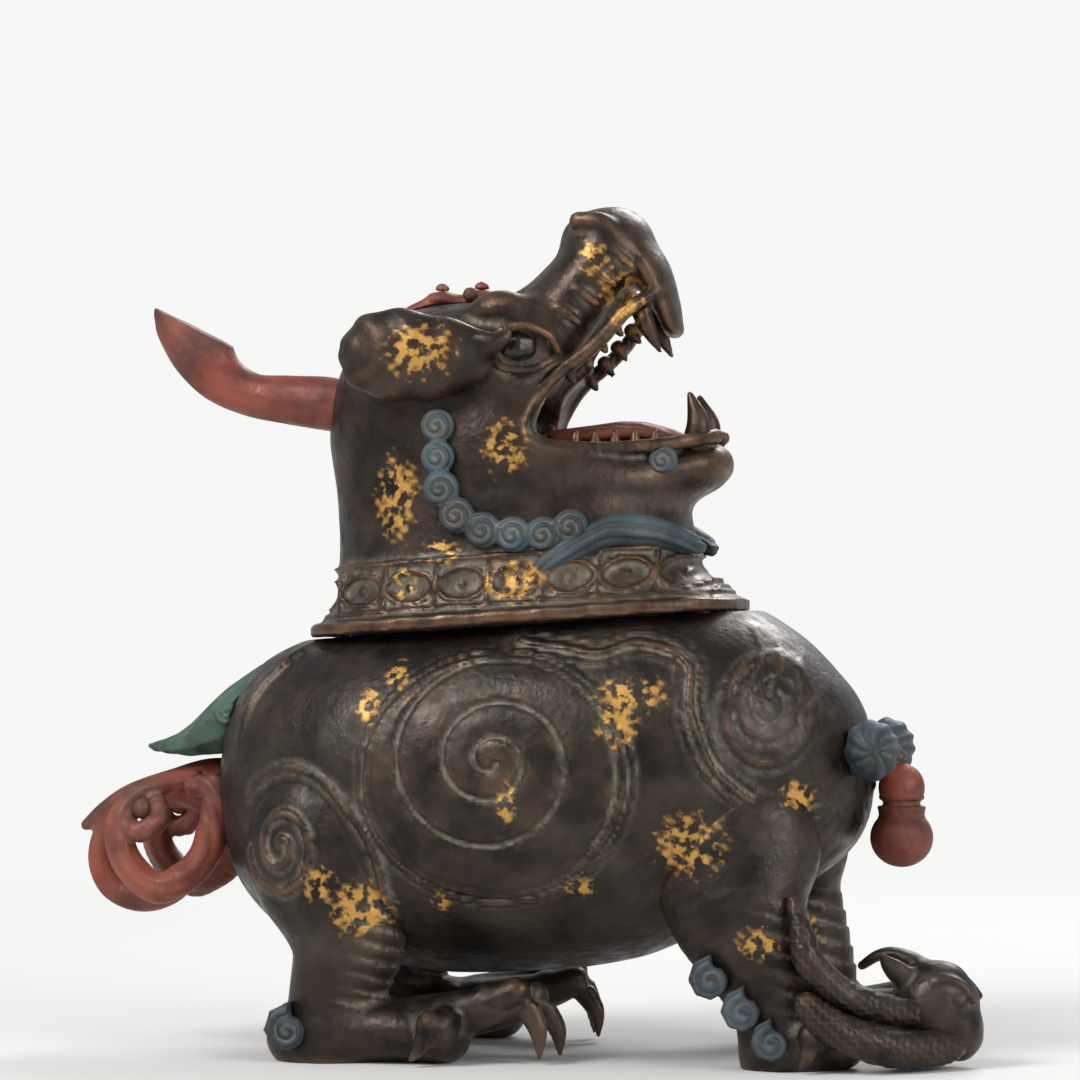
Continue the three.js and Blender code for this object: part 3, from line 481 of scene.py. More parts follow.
def belly_relief(x, z):
    """Height of the ornament on the belly's sides, over the XZ plane."""
    pillow, lines = snail(x, z, *FLANK_SPIRAL)
    height = 2.6 * pillow + 1.6 * lines
    pillow, lines = snail(x, z, *SHOULDER_SPIRAL)
    height += 1.5 * pillow + 1.4 * lines
    ridge = distance_to_line(x, z, S_RIDGE)
    height += 2.2 * bump(ridge, 2.0) + 1.1 * bump(np.abs(ridge - 4.2), 1.1)
    height += 1.9 * bump(distance_to_line(x, z, HAUNCH_SCROLL), 2.0)
    for i in range(CHEST_LOCKS):
        lock = [(96 + 9 * i, 178 - 5 * i), (101 + 8 * i, 166 - 5 * i), (99 + 7 * i, 158 - 4 * i)]
        height += 1.2 * bump(distance_to_line(x, z, lock, 16), 1.7)
    for i in range(RUMP_LOCKS):
        lock = [(-84 - 5 * i, 176 - 4 * i), (-102 - 3 * i, 168 - 6 * i), (-119, 152 - 7 * i)]
        height += 1.5 * bump(distance_to_line(x, z, lock, 20), 2.2)
    return RELIEF_SHARE * height


def belly_distance(field, inset):
    """Distance to the belly's skin drawn in by inset, negative inside it."""
    middle = (top_line(field.x) + bottom_line(field.x)) / 2
    tall = np.maximum((top_line(field.x) - bottom_line(field.x)) / 2 - inset, LEAST)
    wide = np.maximum(half_width(field.x) - inset, LEAST)
    share = (np.abs(field.y) / wide) ** BELLY_POWER + (np.abs(field.z - middle) / tall) ** BELLY_POWER
    return (share ** (1 / BELLY_POWER) - 1) * np.minimum(tall, wide)


def mouth_distance(field, inset):
    """Distance in the XY plane to the mouth's outline drawn in by inset, negative inside it."""
    long, wide = MOUTH_LONG - inset, MOUTH_WIDE - inset
    share = (np.abs(field.x - COVER_X) / long) ** MOUTH_POWER + (np.abs(field.y) / wide) ** MOUTH_POWER
    return (share ** (1 / MOUTH_POWER) - 1) * wide


SEAM = 0.2  # how far the belly's rim lies under the mouth's plane
RELIEF_FROM, RELIEF_FULL = 18, 40  # the relief fades in between these distances from the middle
SOLID_END = WALL + 2  # left solid at the tips of the rump and the chest
MOUTH_DEPTH = WALL + 6  # how far down the mouth is cut


def build_belly():
    field = Field((-140, -92, 28), (145, 92, 190), 1.5)
    side = np.clip((np.abs(field.y) - RELIEF_FROM) / (RELIEF_FULL - RELIEF_FROM), 0, 1)
    field.add(belly_distance(field, 0) - belly_relief(field.x, field.z) * side)
    ends = np.maximum(field.x - (CHEST_X - SOLID_END), (RUMP_X + SOLID_END) - field.x)
    field.cut(np.maximum(belly_distance(field, WALL), ends))
    deck = DECK_HEIGHT + field.x * DECK_SLOPE
    field.cut(deck - field.z - SEAM)
    field.cut(np.maximum(mouth_distance(field, 0), deck - MOUTH_DEPTH - field.z))
    piece("belly", *field.surface(), "vessel", ["vessel_body"], bronze)


# Legs

CLAW_HEIGHT = 2.4  # of a claw's tip over the ground
CLAW_TIP = 0.9
LEG_SINK = 1.5  # how far a leg reaches into the belly's skin
FLAT_SOLE = 3  # the height below which a foot has no relief


def toe(field, base, knuckle, end, radius, claw):
    """A toe from its base over the knuckle to its end, with a nail bent down to the claw's x, y."""
    bones = zip((base, knuckle, end), (1.2, 1.0, 0.8))
    field.limb([(*place, radius * share, radius * share) for place, share in bones], 3)
    x, y, z = end
    claw_x, claw_y = claw
    nail = [
        (x, y, z, radius * 0.62, radius * 0.5),
        ((x + claw_x * 2) / 3 + 2, (y + claw_y) / 2, z * 0.55, radius * 0.5, radius * 0.4),
        (claw_x, claw_y, CLAW_HEIGHT, CLAW_TIP, CLAW_TIP)]
    field.limb(nail, 0.6)
    x, y, z = knuckle
    field.ball((x + 2, y, z + radius * 0.35), (radius * 0.8,) * 3, 2)


def scutes(points, normals):
    """Overlapping bands across the instep."""
    x, z = points[:, 0], points[:, 2]
    front = np.clip(normals[:, 0] * 1.6, 0, 1) * np.clip((70 - z) / 12, 0, 1) * np.clip((z - 16) / 8, 0, 1)
    return front * 1.1 * (np.mod(z * 0.14 + x * 0.05, 1) - 0.5)


def leg_spiral(points, centre, halves, laps, height):
    """A spiral ridge on a leg, seen from the side."""
    dx, dz = (points[:, 0] - centre[0]) / halves[0], (points[:, 2] - centre[1]) / halves[1]
    radius = np.sqrt(dx**2 + dz**2)
    turned = np.mod(np.arctan2(dz, -dx), 2 * math.pi) / (2 * math.pi)
    rise = np.zeros(len(points))
    for lap in range(laps):
        rise += bump((radius - (lap + turned) / laps) * halves[0], 1.9)
    return height * rise * (radius < 1.1)


def hind_leg():
    field = Field((-118, -88, -2), (26, -24, 134), 1.2)
    field.ball((-76, -54, 86), (36, 26, 40), 0)
    field.limb([
        (-76, -50, 84, 30, 20), (-70, -56, 62, 27, 21), (-69, -57, 46, 23, 20),
        (-74, -57, 30, 19, 17), (-77, -57, 14, 18, 16), (-78, -57, 3, 18, 16)], 5)
    field.limb([
        (-92, -56, 9, 11, 13), (-74, -56, 11, 13, 17), (-48, -57, 13, 13, 18), (-28, -58, 10, 10, 17)], 5)
    toe(field, (-36, -62, 15), (-27, -72, 15), (-30, -77, 17), 7.5, (-38, -80))
    toe(field, (-38, -60, 17), (-12, -62, 23), (2, -62, 29), 8.5, (12, -62))
    toe(field, (-36, -50, 16), (-8, -47, 21), (6, -45, 26), 8, (17, -44))
    return field


def fore_leg(standing):
    """A fore leg, with two front toes where it stands and none where it grips the serpent."""
    field = Field((48, -86, -2), (182, -22, 126), 1.2)
    field.ball((88, -48, 88), (36, 24, 34), 0)
    field.limb([
        (88, -50, 84, 32, 20), (91, -56, 66, 29, 20), (99, -56, 48, 24, 19),
        (106, -56, 32, 20, 17), (110, -56, 16, 18, 16), (111, -56, 3, 18, 16)], 5)
    field.limb([(104, -56, 9, 10, 14), (120, -56, 11, 11, 17), (134, -55, 9, 9, 15)], 5)
    toe(field, (118, -62, 13), (125, -72, 13), (124, -77, 15), 6.5, (120, -80))
    if standing:
        toe(field, (126, -58, 14), (148, -60, 20), (160, -60, 25), 8, (170, -60))
        toe(field, (126, -50, 13), (150, -46, 18), (162, -44, 23), 7.5, (173, -43))
    return field


def build_leg(name, field, side, relief):
    """Cuts a leg to the belly and the ground, and makes it on one side."""
    field.cut(belly_distance(field, LEG_SINK))
    field.cut(field.z)
    points, quads = field.surface(side)
    points[:, 2] = np.maximum(points[:, 2], 0)
    node = f"{name}_{HANDS[side]}"
    piece(f"{node}_look", points, quads, "vessel", [node], bronze, relief)


def hind_relief(points, normals):
    haunch = leg_spiral(points, (-92, 88), (16, 21), 2, 1.8) * np.clip(np.abs(normals[:, 1]) * 1.5, 0, 1)
    return (scutes(points, normals) + haunch) * (points[:, 2] > FLAT_SOLE)


def fore_relief(points, normals):
    return scutes(points, normals) * (points[:, 2] > FLAT_SOLE)


# Head and neck. Each row: height, centre in x, half length, half width, squareness of the section

NECK = [
    (178.7, -4, 91, 62, 3), (183.4, -4, 91, 62, 3), (184.6, -4, 87, 59, 2.9), (192, -5, 80.5, 54.5, 2.8),
    (203, -8, 76.5, 51.5, 2.6), (218, -10, 74.5, 49, 2.4), (235, -12, 74, 47.5, 2.3),
    (252, -18, 71, 46.5, 2.2), (270, -26, 62, 45.5, 2.2), (286, -31, 53, 42.5, 2.2), (300, -33, 42, 36, 2.1),
    (309, -33, 28, 25, 2), (313, -33, 12, 11, 2)]
RIM_BOTTOM, NECK_TOP = 178.7, 313
FLUE_BOTTOM, FLUE_TOP = 150, 224
TILT_ENDS, TILT_FADE = 250, 60  # the sections tilt with the mouth, less and less up to this height
UPPER_LIP = profile([
    (3.0, 262), (8, 275), (15, 282), (24, 289), (31, 295), (41, 307), (51, 318), (62, 330), (120, 420)])
LOWER_LIP = profile([
    (3.0, 257), (9, 253.5), (18, 251), (30, 250.5), (43, 251), (56, 252.5), (68, 255), (80, 257),
    (120, 262)])
JAW_CORNER = 3.0  # where the lips meet, in x
PANEL_START, PANEL_LONG = -11.1, 22.4
COLLAR_LOW, COLLAR_MIDDLE, COLLAR_HIGH = 186, 196, 206
TONGUE_OUTSIDE, TONGUE_INSIDE = 1.2, 5.0  # insets from the mouth's outline
TONGUE_LOW, TONGUE_HIGH = 168.6, 184


def neck_distance(field, inset, low, high):
    """Distance to the neck drawn in by inset, between two heights, negative inside it."""
    fade = np.clip((TILT_ENDS - field.z) / TILT_FADE, 0, 1)
    height = field.z - (field.x - COVER_X) * DECK_SLOPE * fade
    centre, long, wide, power = (
        profile([(row[0], row[column]) for row in NECK])(height) for column in (1, 2, 3, 4))
    along = np.maximum(long - inset, LEAST)
    across = np.maximum(wide - inset, LEAST)
    share = (np.abs(field.x - centre) / along) ** power + (np.abs(field.y) / across) ** power
    walls = (share ** (1 / power) - 1) * across
    return np.maximum(walls, np.maximum(low - height, height - high))


def collar_relief(field):
    """A band of eye-shaped panels round the foot of the neck, between two raised lines."""
    height = field.z - (field.x - COVER_X) * DECK_SLOPE
    place = np.mod(field.x - PANEL_START, PANEL_LONG) - PANEL_LONG / 2
    level = height - COLLAR_MIDDLE
    band = np.clip((height - COLLAR_LOW) / 1.5, 0, 1) * np.clip((COLLAR_HIGH - height) / 1.5, 0, 1)
    eye = np.sqrt((place / 8.6) ** 2 + (level / 5.6) ** 2)
    borders = 1.5 * bump(np.abs(place) - PANEL_LONG / 2, 1.4) * (np.abs(place) > 9)
    socket = 1.8 * np.clip(1.2 - eye, 0, 1) ** 0.7
    ring = 1.4 * bump((eye - 1.15) * 6, 1.3)
    pupil = 1.2 * bump(np.sqrt(place**2 + level**2), 2.6)
    rows = 1.5 * bump(height - COLLAR_HIGH - 0.5, 1.5) + 1.2 * bump(height - COLLAR_LOW - 1, 1.2)
    return (borders - socket + ring + pupil) * band + rows


def jaw_gap(field):
    """Distance to the opening between the lips, seen from the side, negative inside it."""
    gap = np.maximum(field.z - UPPER_LIP(field.x), LOWER_LIP(field.x) - field.z)
    return np.maximum(gap, JAW_CORNER - field.x)


def add_skull(field):
    """The neck, the upturned muzzle with its nose, the lower jaw and the cheeks."""
    field.add(neck_distance(field, 0, RIM_BOTTOM, NECK_TOP) - collar_relief(field))
    field.limb([
        (-30, 0, 276, 32, 41), (-8, 0, 289, 27, 38), (8, 0, 303, 22, 33), (20, 0, 318, 19, 29),
        (29, 0, 331, 17, 27), (34, 0, 339, 13, 21)], 7)
    field.ball((27, 0, 340), (17, 21, 12.5), 6)
    field.limb([
        (-14, 0, 242, 16, 42), (12, 0, 240, 15, 39), (34, 0, 239.5, 13.5, 34), (54, 0, 241, 12.5, 29),
        (67, 0, 243.5, 11.5, 23), (73, 0, 245, 9, 18)], 7)
    for side in HANDS:
        field.ball((-14, side * 35, 250), (25, 14, 21), 5)


def hollow_out(field):
    """Opens the jaws, the neck and the throat between them."""
    field.cut(jaw_gap(field), 1.5)
    palate = [(4, 0, 272, 5, 17), (16, 0, 287, 5, 18), (28, 0, 300, 5, 17), (38, 0, 315, 5, 14)]
    field.limb(palate, 3, carve=True)
    field.cut(neck_distance(field, WALL, FLUE_BOTTOM, FLUE_TOP))
    nape = [(-32, 0, 222, 40, 40), (-36, 0, 245, 36, 36), (-38, 0, 266, 32, 30)]
    field.limb(nape, 4, carve=True)
    throat = [(-34, 0, 262, 16, 24), (-10, 0, 262, 12, 22), (14, 0, 266, 9, 22)]
    field.limb(throat, 2, carve=True)


def add_face(field, side):
    """The brow, lips, lids, nostril and creases of one side."""
    field.limb([
        (-24, side * 24, 304, 7, 7), (-12, side * 27, 309, 8, 8), (2, side * 26, 306, 7, 7),
        (10, side * 20, 307, 5, 6)], 4)
    lips = [
        (52, 14, 317), (41, 24, 308), (31, 28, 296), (22, 31, 288), (12, 34, 280), (4.5, 36.5, 270),
        (1, 38, 261), (6, 38, 253.5), (18, 37, 251), (36, 33, 250.5), (54, 28, 252), (68, 20, 254.5),
        (76, 9, 256.5)]
    field.limb([(x, side * y, z, 3.2, 3.4) for x, y, z in lips], 1.6, samples=70)
    upper_lid = [(-14, 40, 292), (-8, 42, 299), (2, 41, 301), (11, 36, 297), (14, 33, 291)]
    field.limb([(x, side * y, z, 1.9, 1.9) for x, y, z in upper_lid], 1.2, samples=40)
    lower_lid = [(-14, 40, 290), (-7, 43, 284), (4, 42, 283), (12, 37, 287)]
    field.limb([(x, side * y, z, 1.8, 1.8) for x, y, z in lower_lid], 1.2, samples=40)
    field.limb([(20, side * 19, 346, 4, 4), (30, side * 21, 344, 5, 4), (36, side * 19, 337, 4, 4)], 2)
    for step in range(4):
        crease = [
            (14 + 7 * step, side * (31 - 2.5 * step), 309 + 8 * step, 1.4, 1.4),
            (22 + 7 * step, side * (30 - 2.5 * step), 303 + 8 * step, 1.5, 1.5)]
        field.limb(crease, 1.5, samples=10)


def add_teeth(field, side):
    """The back teeth of one side, each from its root to its point."""
    for x, y, z in [(16, 26, 284), (23, 25, 290), (29, 23.5, 296.5), (35, 22, 303.5)]:
        upper = [(x, side * y, z, 3.4, 2.8), (x + 3.4, side * y, z - 5.2, 1.4, 1.4)]
        field.limb(upper, 1.0, samples=10)
    for x, y in [(20, 26), (28, 24.5), (36, 23), (44, 21), (52, 18.5)]:
        lower = [(x, side * y, 250, 3.2, 2.8), (x, side * y, 257.5, 1.6, 1.6)]
        field.limb(lower, 1.0, samples=10)


def add_tongue(field):
    """The ring under the rim that drops into the belly's mouth."""
    level = field.z - (field.x - COVER_X) * DECK_SLOPE
    ring = np.maximum(mouth_distance(field, TONGUE_OUTSIDE), -mouth_distance(field, TONGUE_INSIDE))
    field.add(np.maximum(ring, np.maximum(TONGUE_LOW - level, level - TONGUE_HIGH)))


def build_head():
    """The lip that hangs over the jaws is added once they are opened."""
    field = Field((-92, -66, 160), (86, 66, 356), 1.3)
    add_skull(field)
    hollow_out(field)
    overhang = [(38, 0, 338, 9, 20), (47, 0, 327, 8, 20), (53, 0, 314, 6, 17), (57, 0, 302, 4, 12)]
    field.limb(overhang, 4)
    for side in HANDS:
        add_face(field, side)
        add_teeth(field, side)
    add_tongue(field)
    piece("head", *field.surface(), "cover", ["cover_head"], russet)


# Stage, light and camera

BACKDROP = (0.93, 0.93, 0.92)
FLOOR_SIZE = 12
FADE_FROM, FADE_TO = 0.5, 1.6  # metres from the model's origin
LENS, SENSOR = 142.9, 36
CAMERA_PLACE = (0.3435 + BEAST_TO_ROW * MM, -1.767, 0.168)
CAMERA_AIM = (BEAST_TO_ROW * MM, 0, 0.214)
LAMP_AIM = (0, 0, 0.18)


def choose_shader(tree, share, first, second, output):
    """Sends the first shader to the output where share is 0 and the second where it is 1."""
    chooser = tree.nodes.new("ShaderNodeMixShader")
    for source, socket in zip((share, first, second), chooser.inputs):
        tree.links.new(source, socket)
    tree.links.new(chooser.outputs[0], tree.nodes[output].inputs["Surface"])


def fade_to_backdrop(tree, shader):
    """Beyond a step from the object, what the camera sees of the floor turns into the backdrop."""
    coordinates = tree.nodes.new("ShaderNodeTexCoord")
    length = tree.nodes.new("ShaderNodeVectorMath")
    length.operation = "LENGTH"
    tree.links.new(coordinates.outputs["Object"], length.inputs[0])
    ramp = tree.nodes.new("ShaderNodeMapRange")
    ramp.interpolation_type = "SMOOTHSTEP"
    ramp.inputs["From Min"].default_value = FADE_FROM
    ramp.inputs["From Max"].default_value = FADE_TO
    tree.links.new(length.outputs["Value"], ramp.inputs["Value"])
    path = tree.nodes.new("ShaderNodeLightPath")
    glow = tree.nodes.new("ShaderNodeEmission")
    glow.inputs["Color"].default_value = (*BACKDROP, 1)
    share = combined(tree, ramp.outputs["Result"], path.outputs["Is Camera Ray"])
    choose_shader(tree, share, shader.outputs[0], glow.outputs[0], "Material Output")


def build_stage():
    bpy.ops.mesh.primitive_plane_add(size=FLOOR_SIZE)
    floor = bpy.context.object
    floor.name = "floor"
    paper = bpy.data.materials.new("pale_floor")
    paper.use_nodes = True
    shader = paper.node_tree.nodes["Principled BSDF"]
    shader.inputs["Base Color"].default_value = (0.78, 0.77, 0.75, 1)
    shader.inputs["Roughness"].default_value = 0.9
    fade_to_backdrop(paper.node_tree, shader)
    floor.data.materials.append(paper)


def add_aimed(name, data, place, aim):
    """A lamp or camera at place that looks at aim."""
    made = bpy.data.objects.new(name, data)
    made.location = place
    made.rotation_mode = "QUATERNION"
    made.rotation_quaternion = (Vector(aim) - Vector(place)).to_track_quat("-Z", "Y")
    bpy.context.scene.collection.objects.link(made)
    return made


def add_lamp(name, place, size, power):
    lamp = bpy.data.lights.new(name, "AREA")
    lamp.shape = "DISK"
    lamp.size = size
    lamp.energy = power
    add_aimed(name, lamp, place, LAMP_AIM)


def build_light():
    add_lamp("key", (-1.2, -1.6, 1.9), 1.2, 42)
    add_lamp("fill", (1.9, -1.3, 1.0), 1.5, 22)
    add_lamp("rim", (0.4, 1.8, 1.6), 1.2, 24)
    world = bpy.data.worlds.new("studio")
    world.use_nodes = True
    tree = world.node_tree
    sky = tree.nodes["Background"]
    sky.inputs["Color"].default_value = (0.9, 0.92, 0.95, 1)
    sky.inputs["Strength"].default_value = 0.55
    backdrop = tree.nodes.new("ShaderNodeBackground")
    backdrop.inputs["Color"].default_value = (*BACKDROP, 1)
    path = tree.nodes.new("ShaderNodeLightPath")
    seen = path.outputs["Is Camera Ray"]
    choose_shader(tree, seen, sky.outputs[0], backdrop.outputs[0], "World Output")
    bpy.context.scene.world = world
    bpy.context.scene.view_settings.view_transform = "Standard"


def build_camera():
    camera = bpy.data.cameras.new("camera")
    camera.lens = LENS
    camera.sensor_width = SENSOR
    bpy.context.scene.camera = add_aimed("camera", camera, CAMERA_PLACE, CAMERA_AIM)


# Relief of the small pieces


def spirals(centres, radius, laps=2, height=1.1):
    """Snail lines round each centre, seen from the side."""
    def relief(points, normals):
        x, z = points[:, 0], points[:, 2]
        rise = np.zeros(len(points))
        for cx, cz in centres:
            reach = np.hypot(x - cx, z - cz)
            turned = np.mod(np.arctan2(z - cz, cx - x), 2 * math.pi) / (2 * math.pi)
            for lap in range(laps + 1):
                line = np.abs(reach - radius * (lap + turned) / (laps + 0.4))
                rise = np.maximum(rise, bump(line, radius / (2.6 * laps)) * (reach < radius * 1.08))
        return height * (rise - 0.4) * np.clip(np.abs(normals[:, 1]) * 1.6 - 0.3, 0, 1)
    return relief


def striped(wave, height):
    """Combed lines: wave gives the phase at each point."""
    def relief(points, normals):
        return 0.5 * height * (np.sin(wave(points[:, 0], points[:, 1], points[:, 2])) - 1)
    return relief


TUFT = (146, 127)


def tuft_wave(x, y, z):
    """Lines that fan out from the tuft's middle."""
    dx, dz = x - TUFT[0], z - TUFT[1]
    return 9 * np.arctan2(dz, dx) + 0.28 * np.hypot(dx, dz)


beard_curve = profile([(6, 197), (14, 204), (26, 212), (40, 218), (54, 217), (66, 213), (71, 210)])
scaly = striped(lambda x, y, z: 1.3 * (x + z) + 1.2 * np.sin(1.3 * (x - z)), 0.35)
MANE = [(-33.5, 260), (-33, 247), (-31.5, 234), (-25, 223), (-14, 217), (-1.5, 215), (11, 215), (22, 218)]
CURL, SMALL_CURL = 7.6, 7.0
SMALL_CURLS = 2  # as many curls at the top of the row are small
CHIN = (57, 246)
CHIN_CURL = 6.2
RELIEF = {
    "chest_tuft": striped(tuft_wave, 0.9),
    "beard_lock": striped(lambda x, y, z: 1.5 * (z - beard_curve(x)), 0.7),
    "ear": striped(lambda x, y, z: 0.42 * np.hypot(x + 74, 1.3 * (z - 292)), 0.9),
    "horn": striped(lambda x, y, z: 1.1 * np.hypot(x + 100, z - 360), 0.18),
    "tail_curl": striped(lambda x, y, z: 1.15 * np.hypot(x + 153, z - 89), 0.55),
    "tail_root": striped(lambda x, y, z: 1.3 * y, 0.4),
    "rump_leaf": striped(lambda x, y, z: 0.75 * np.abs(y) + 0.35 * x, 0.6),
    "gourd_bell": striped(lambda x, y, z: 1.9 * np.clip(z, 98, 108), 0.7),
    "leaf_scroll": spirals([(-128, 142)], 7),
    "heel_scroll": spirals([(-90, 13.5)], 11.5, 3, 1.3),
    "fore_scroll_1": spirals([(84, 36.5)], 10.5, 2, 1.3),
    "fore_scroll_2": spirals([(97, 24)], 10.5, 2, 1.3),
    "fore_scroll_3": spirals([(108.5, 12)], 10, 2, 1.3),
    "serpent_coil_upper": scaly,
    "serpent_coil_lower": scaly,
    "serpent_head": striped(lambda x, y, z: 0.5 * np.hypot(x - 188, z - 14), 0.5),
    "mouth_tongue": striped(lambda x, y, z: 1.4 * y, 0.25),
}


def relief_of(node):
    """The relief that a node and its twin share, or None."""
    return RELIEF.get(node.removesuffix("_right").removesuffix("_left"))


def build_curls(side):
    """The row of snail curls from behind the cheek down to the beard, and the curl on the chin."""
    row = Field((-44, -62, 204), (33, -38, 270), 0.8)
    for index, (x, z) in enumerate(MANE):
        radius = SMALL_CURL if index < SMALL_CURLS else CURL
        y = -50.5 + max(z - 240, 0) * 0.12 + max(x + 5, 0) * 0.13
        row.ball((x, y, z), (radius, 4.6, radius), 0.8)
    chin = Field((48, -36, 236), (68, -18, 256), 0.7)
    chin.ball((CHIN[0], -27.5, CHIN[1]), (CHIN_CURL, 4.2, CHIN_CURL), 0.8)
    curls = (
        ("mane_curls", row, spirals(MANE, 7.4, 2, 1.3)),
        ("chin_curl", chin, spirals([CHIN], CHIN_CURL, 2, 1.1)),
    )
    for name, block, relief in curls:
        node = f"{name}_{HANDS[side]}"
        piece(f"{node}_look", *block.surface(side), "cover", [node], azurite, relief)


# Small castings swept along smooth lines; each row is x, y, z, half depth, half width

HORN = [
    (-74, 0, 268, 11, 11), (-90, 0, 272, 11.5, 11), (-108, 0, 274, 10.5, 10), (-125, 0, 276.5, 9.5, 9.5),
    (-139, 0, 284, 11, 10), (-147, 0, 295, 13.5, 11), (-153, 0, 306, 14, 10), (-157, 0, 314, 12, 8)]
EAR = [
    (-10, -46, 294, 4, 3), (-20, -49, 290, 13, 7), (-34, -51, 288, 17.5, 9.5), (-49, -52, 289, 19.5, 10.5),
    (-62, -51, 290, 17, 9.5), (-68, -49, 291, 12, 7)]
EAR_TIP = [(-20, -52, 294, 6, 4), (-10, -52, 293, 5, 4), (-4, -51, 297, 3, 3), (-6, -50, 303, 1.2, 1.2)]
TAIL_RING = [
    (-144, -24, 110, 4, 4), (-134, -26, 110, 6.5, 6), (-133, -28, 97, 7, 7), (-140, -28, 79, 7, 7),
    (-156, -28, 68, 7, 7), (-170, -28, 77, 7, 7), (-175, -27, 92, 6.5, 6.5), (-169, -25, 105, 6, 6),
    (-158, -21, 111, 5, 6), (-146, -15, 114, 4, 6)]
TAIL_EYE = [
    (-173, -29, 97, 4, 5), (-170, -30, 93, 4.5, 5), (-163, -30, 92, 5, 5), (-157, -29, 97, 5, 5),
    (-158, -28, 103, 4.5, 4.5)]
TAIL_ROOT = [
    (-122, 0, 102, 17, 18), (-140, 0, 109, 13, 15), (-158, 0, 109, 8.5, 10), (-176, 0, 104, 7.5, 6.5),
    (-188, 0, 98, 6, 5), (-198, 0, 93, 2.5, 2.5)]
TAIL_LOCK = [
    (-176, 0, 104, 5.5, 6), (-187, 0, 93, 6, 6), (-191, 0, 79, 6, 6), (-186, 0, 67, 6, 6),
    (-174, 0, 62, 6, 6), (-161, 0, 64, 5, 5), (-149, 0, 73, 4, 4)]
COIL_UPPER = [
    (116, -70, 68, 2.5, 2.5), (120, -74, 56, 5, 5), (124, -75, 43, 6.5, 6.5), (136, -72, 31, 7, 7),
    (150, -63, 25, 7, 7), (160, -52, 22, 6.5, 6.5)]
COIL_LOWER = [
    (123, -81, 27, 6, 6), (133, -79, 19, 7.5, 7.5), (148, -73, 12, 8, 8), (162, -62, 9, 8, 8),
    (174, -50, 9, 7, 7), (180, -44, 11, 5, 5)]
BEARD = [
    (6, -50, 199, 2, 3), (14, -49, 204, 4.5, 5), (26, -46, 211, 6, 6.5), (40, -41, 216.5, 7, 7.5),
    (54, -33, 216, 6.5, 7.5), (66, -22, 212, 5, 6), (71, -16, 210, 2.5, 3)]
LOWER_FANG = [(68, -14, 253, 5.5, 5), (69.5, -14, 262, 4.8, 4.2), (66, -13, 273.5, 1.4, 1.4)]
BELL_X = 152
BELL_WAIST = 102
LOWEST = 0.5  # the small castings keep clear of the ground


def swept(low, high, limbs, blend=1.5, step=0.9):
    """A block that holds the limbs swept through each of the lists of stations."""
    field = Field(low, high, step)
    for stations in limbs:
        field.limb(stations, blend, samples=60)
    return field


def horn_block():
    """The horn, with its upturned end cut flat."""
    horn = swept((-176, -16, 250), (-60, 16, 330), [HORN])
    flat_top = 230.5 - 0.5 * horn.x
    horn.cut(np.maximum(flat_top - horn.z, horn.x + 122))
    return horn


def bell_block():
    """Two bulbs with a cord round the waist."""
    bell = Field((134, -18, 74), (170, 18, 128), 0.7)
    bell.ball((BELL_X, 0, 90.5), (13.6, 13.6, 12.8), 0)
    bell.ball((BELL_X, 0, 111), (10.2, 10.2, 10.8), 3)
    waist = np.sqrt((np.hypot(bell.x - BELL_X, bell.y) - 8.6) ** 2 + (bell.z - BELL_WAIST) ** 2) - 1.8
    bell.add(waist, 0.8)
    return bell


def serpent_block():
    """The serpent's head, with two swept-back locks, and an eye under a brow on each side."""
    serpent = Field((132, -60, 0), (192, -18, 52), 0.9)
    serpent.ball((169.5, -38, 23), (18.5, 16.5, 20.5), 0)
    serpent.ball((180, -38, 14), (9, 12, 11.5), 3)
    serpent.limb([(158, -44, 36, 5, 4), (152, -45, 41, 4, 3), (149, -46, 45, 1.5, 1.5)], 2)
    serpent.limb([
        (164, -34, 40, 4, 6), (154, -33, 45, 3, 6), (146, -32, 44, 2.5, 5), (139, -31, 40, 2, 3)], 2)
    for y in (-48, -28):
        serpent.ball((180, y, 28), (4, 4, 4), 1)
        serpent.limb([(172, y, 35, 3, 3), (180, y, 34, 3, 3), (186, y * 0.9 - 4, 28, 2, 2)], 1.5)
    return serpent


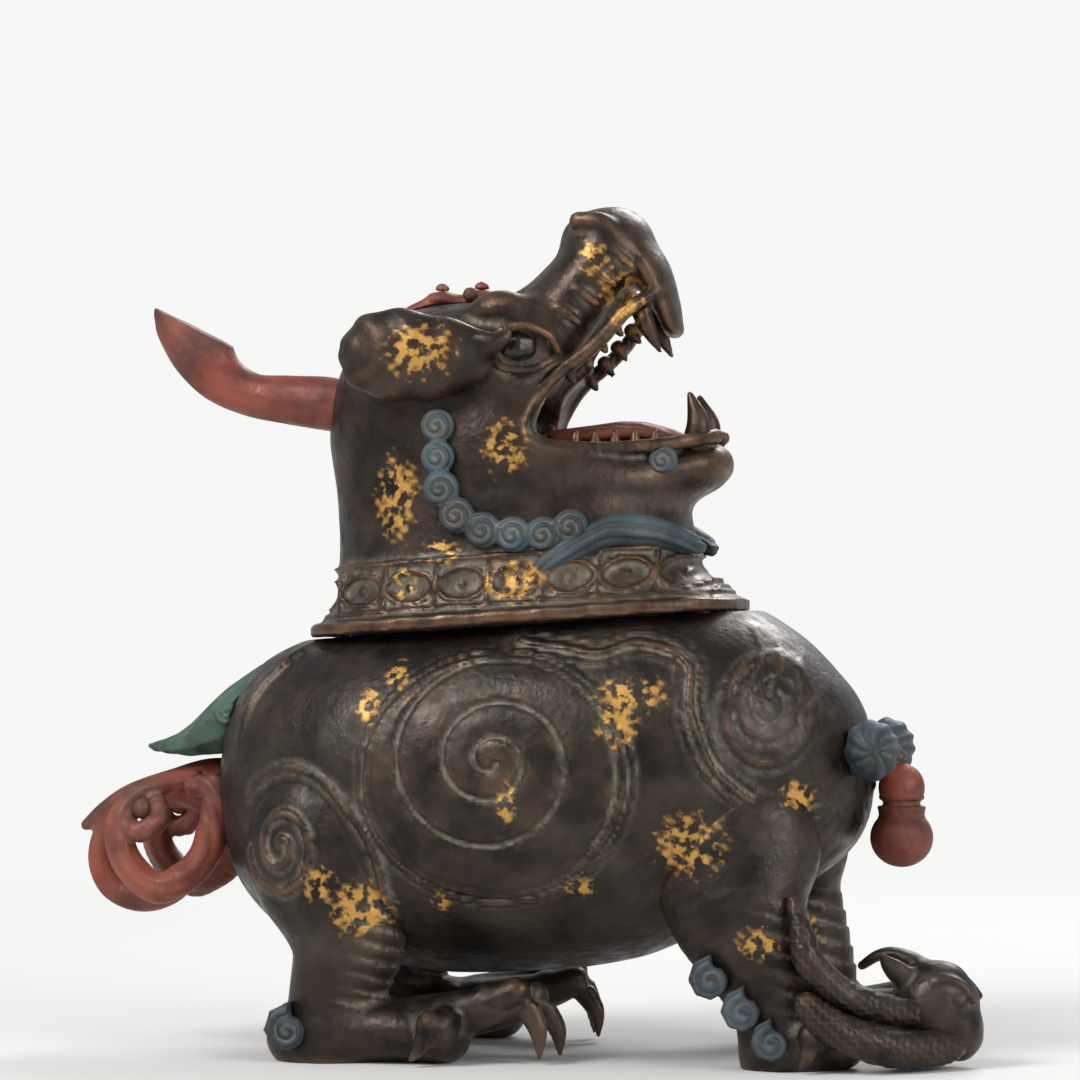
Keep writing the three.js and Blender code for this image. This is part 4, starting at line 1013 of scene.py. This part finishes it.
def build_small_castings():
    """Returns the nodes that these castings replace."""
    root = swept((-206, -22, 50), (-102, 22, 126), [TAIL_ROOT, TAIL_LOCK])
    upper = swept((108, -86, 10), (172, -40, 74), [COIL_UPPER])
    lower = swept((112, -90, 0), (190, -34, 38), [COIL_LOWER])
    single = (
        ("horn", "cover", horn_block(), cinnabar),
        ("tail_root", "vessel", root, cinnabar),
        ("gourd_bell", "vessel", bell_block(), cinnabar),
        ("serpent_head", "vessel", serpent_block(), bronze),
        ("serpent_coil_upper", "vessel", upper, bronze),
        ("serpent_coil_lower", "vessel", lower, bronze),
    )
    replaced = set()
    for node, body, block, material in single:
        points, quads = block.surface()
        points[:, 2] = np.maximum(points[:, 2], LOWEST)
        piece(f"{node}_look", points, quads, body, [node], material, relief_of(node))
        replaced.add(node)
    ear = swept((-82, -66, 262), (4, -36, 314), [EAR, EAR_TIP], 3)
    tail_curl = swept((-188, -40, 54), (-120, -6, 124), [TAIL_RING, TAIL_EYE])
    beard = swept((0, -62, 192), (80, -8, 228), [BEARD])
    fang = swept((58, -24, 244), (80, -4, 278), [LOWER_FANG], 1, 0.7)
    paired = (
        ("ear", "cover", ear, russet),
        ("tail_curl", "vessel", tail_curl, cinnabar),
        ("beard_lock", "cover", beard, azurite),
        ("lower_fang", "cover", fang, russet),
    )
    for name, body, block, material in paired:
        for side, hand in HANDS.items():
            node = f"{name}_{hand}"
            piece(f"{node}_look", *block.surface(side), body, [node], material, relief_of(node))
            replaced.add(node)
    return replaced


FINISH_OF_SLOT = {
    "bronze": bronze, "russet": russet, "cinnabar": cinnabar, "malachite": malachite,
    "azurite": azurite, "dusty": dusty, "eye_enamel": glossy,
}
PAIRED = ("hind_leg", "fore_leg", "mane_curls", "chin_curl")
SCULPTED = {"vessel_body", "cover_head"} | {f"{name}_{hand}" for name in PAIRED for hand in HANDS.values()}

build_belly()
build_head()
for side in HANDS:
    build_curls(side)
    build_leg("hind_leg", hind_leg(), side, hind_relief)
    build_leg("fore_leg", fore_leg(standing=side > 0), side, fore_relief)
replaced = SCULPTED | build_small_castings()
for row in frame["record"]["subparts"]:
    node = row["node"]
    if node not in replaced:
        softened(node, FINISH_OF_SLOT[row["material_slot"]], relief_of(node))
build_stage()
build_light()
build_camera()
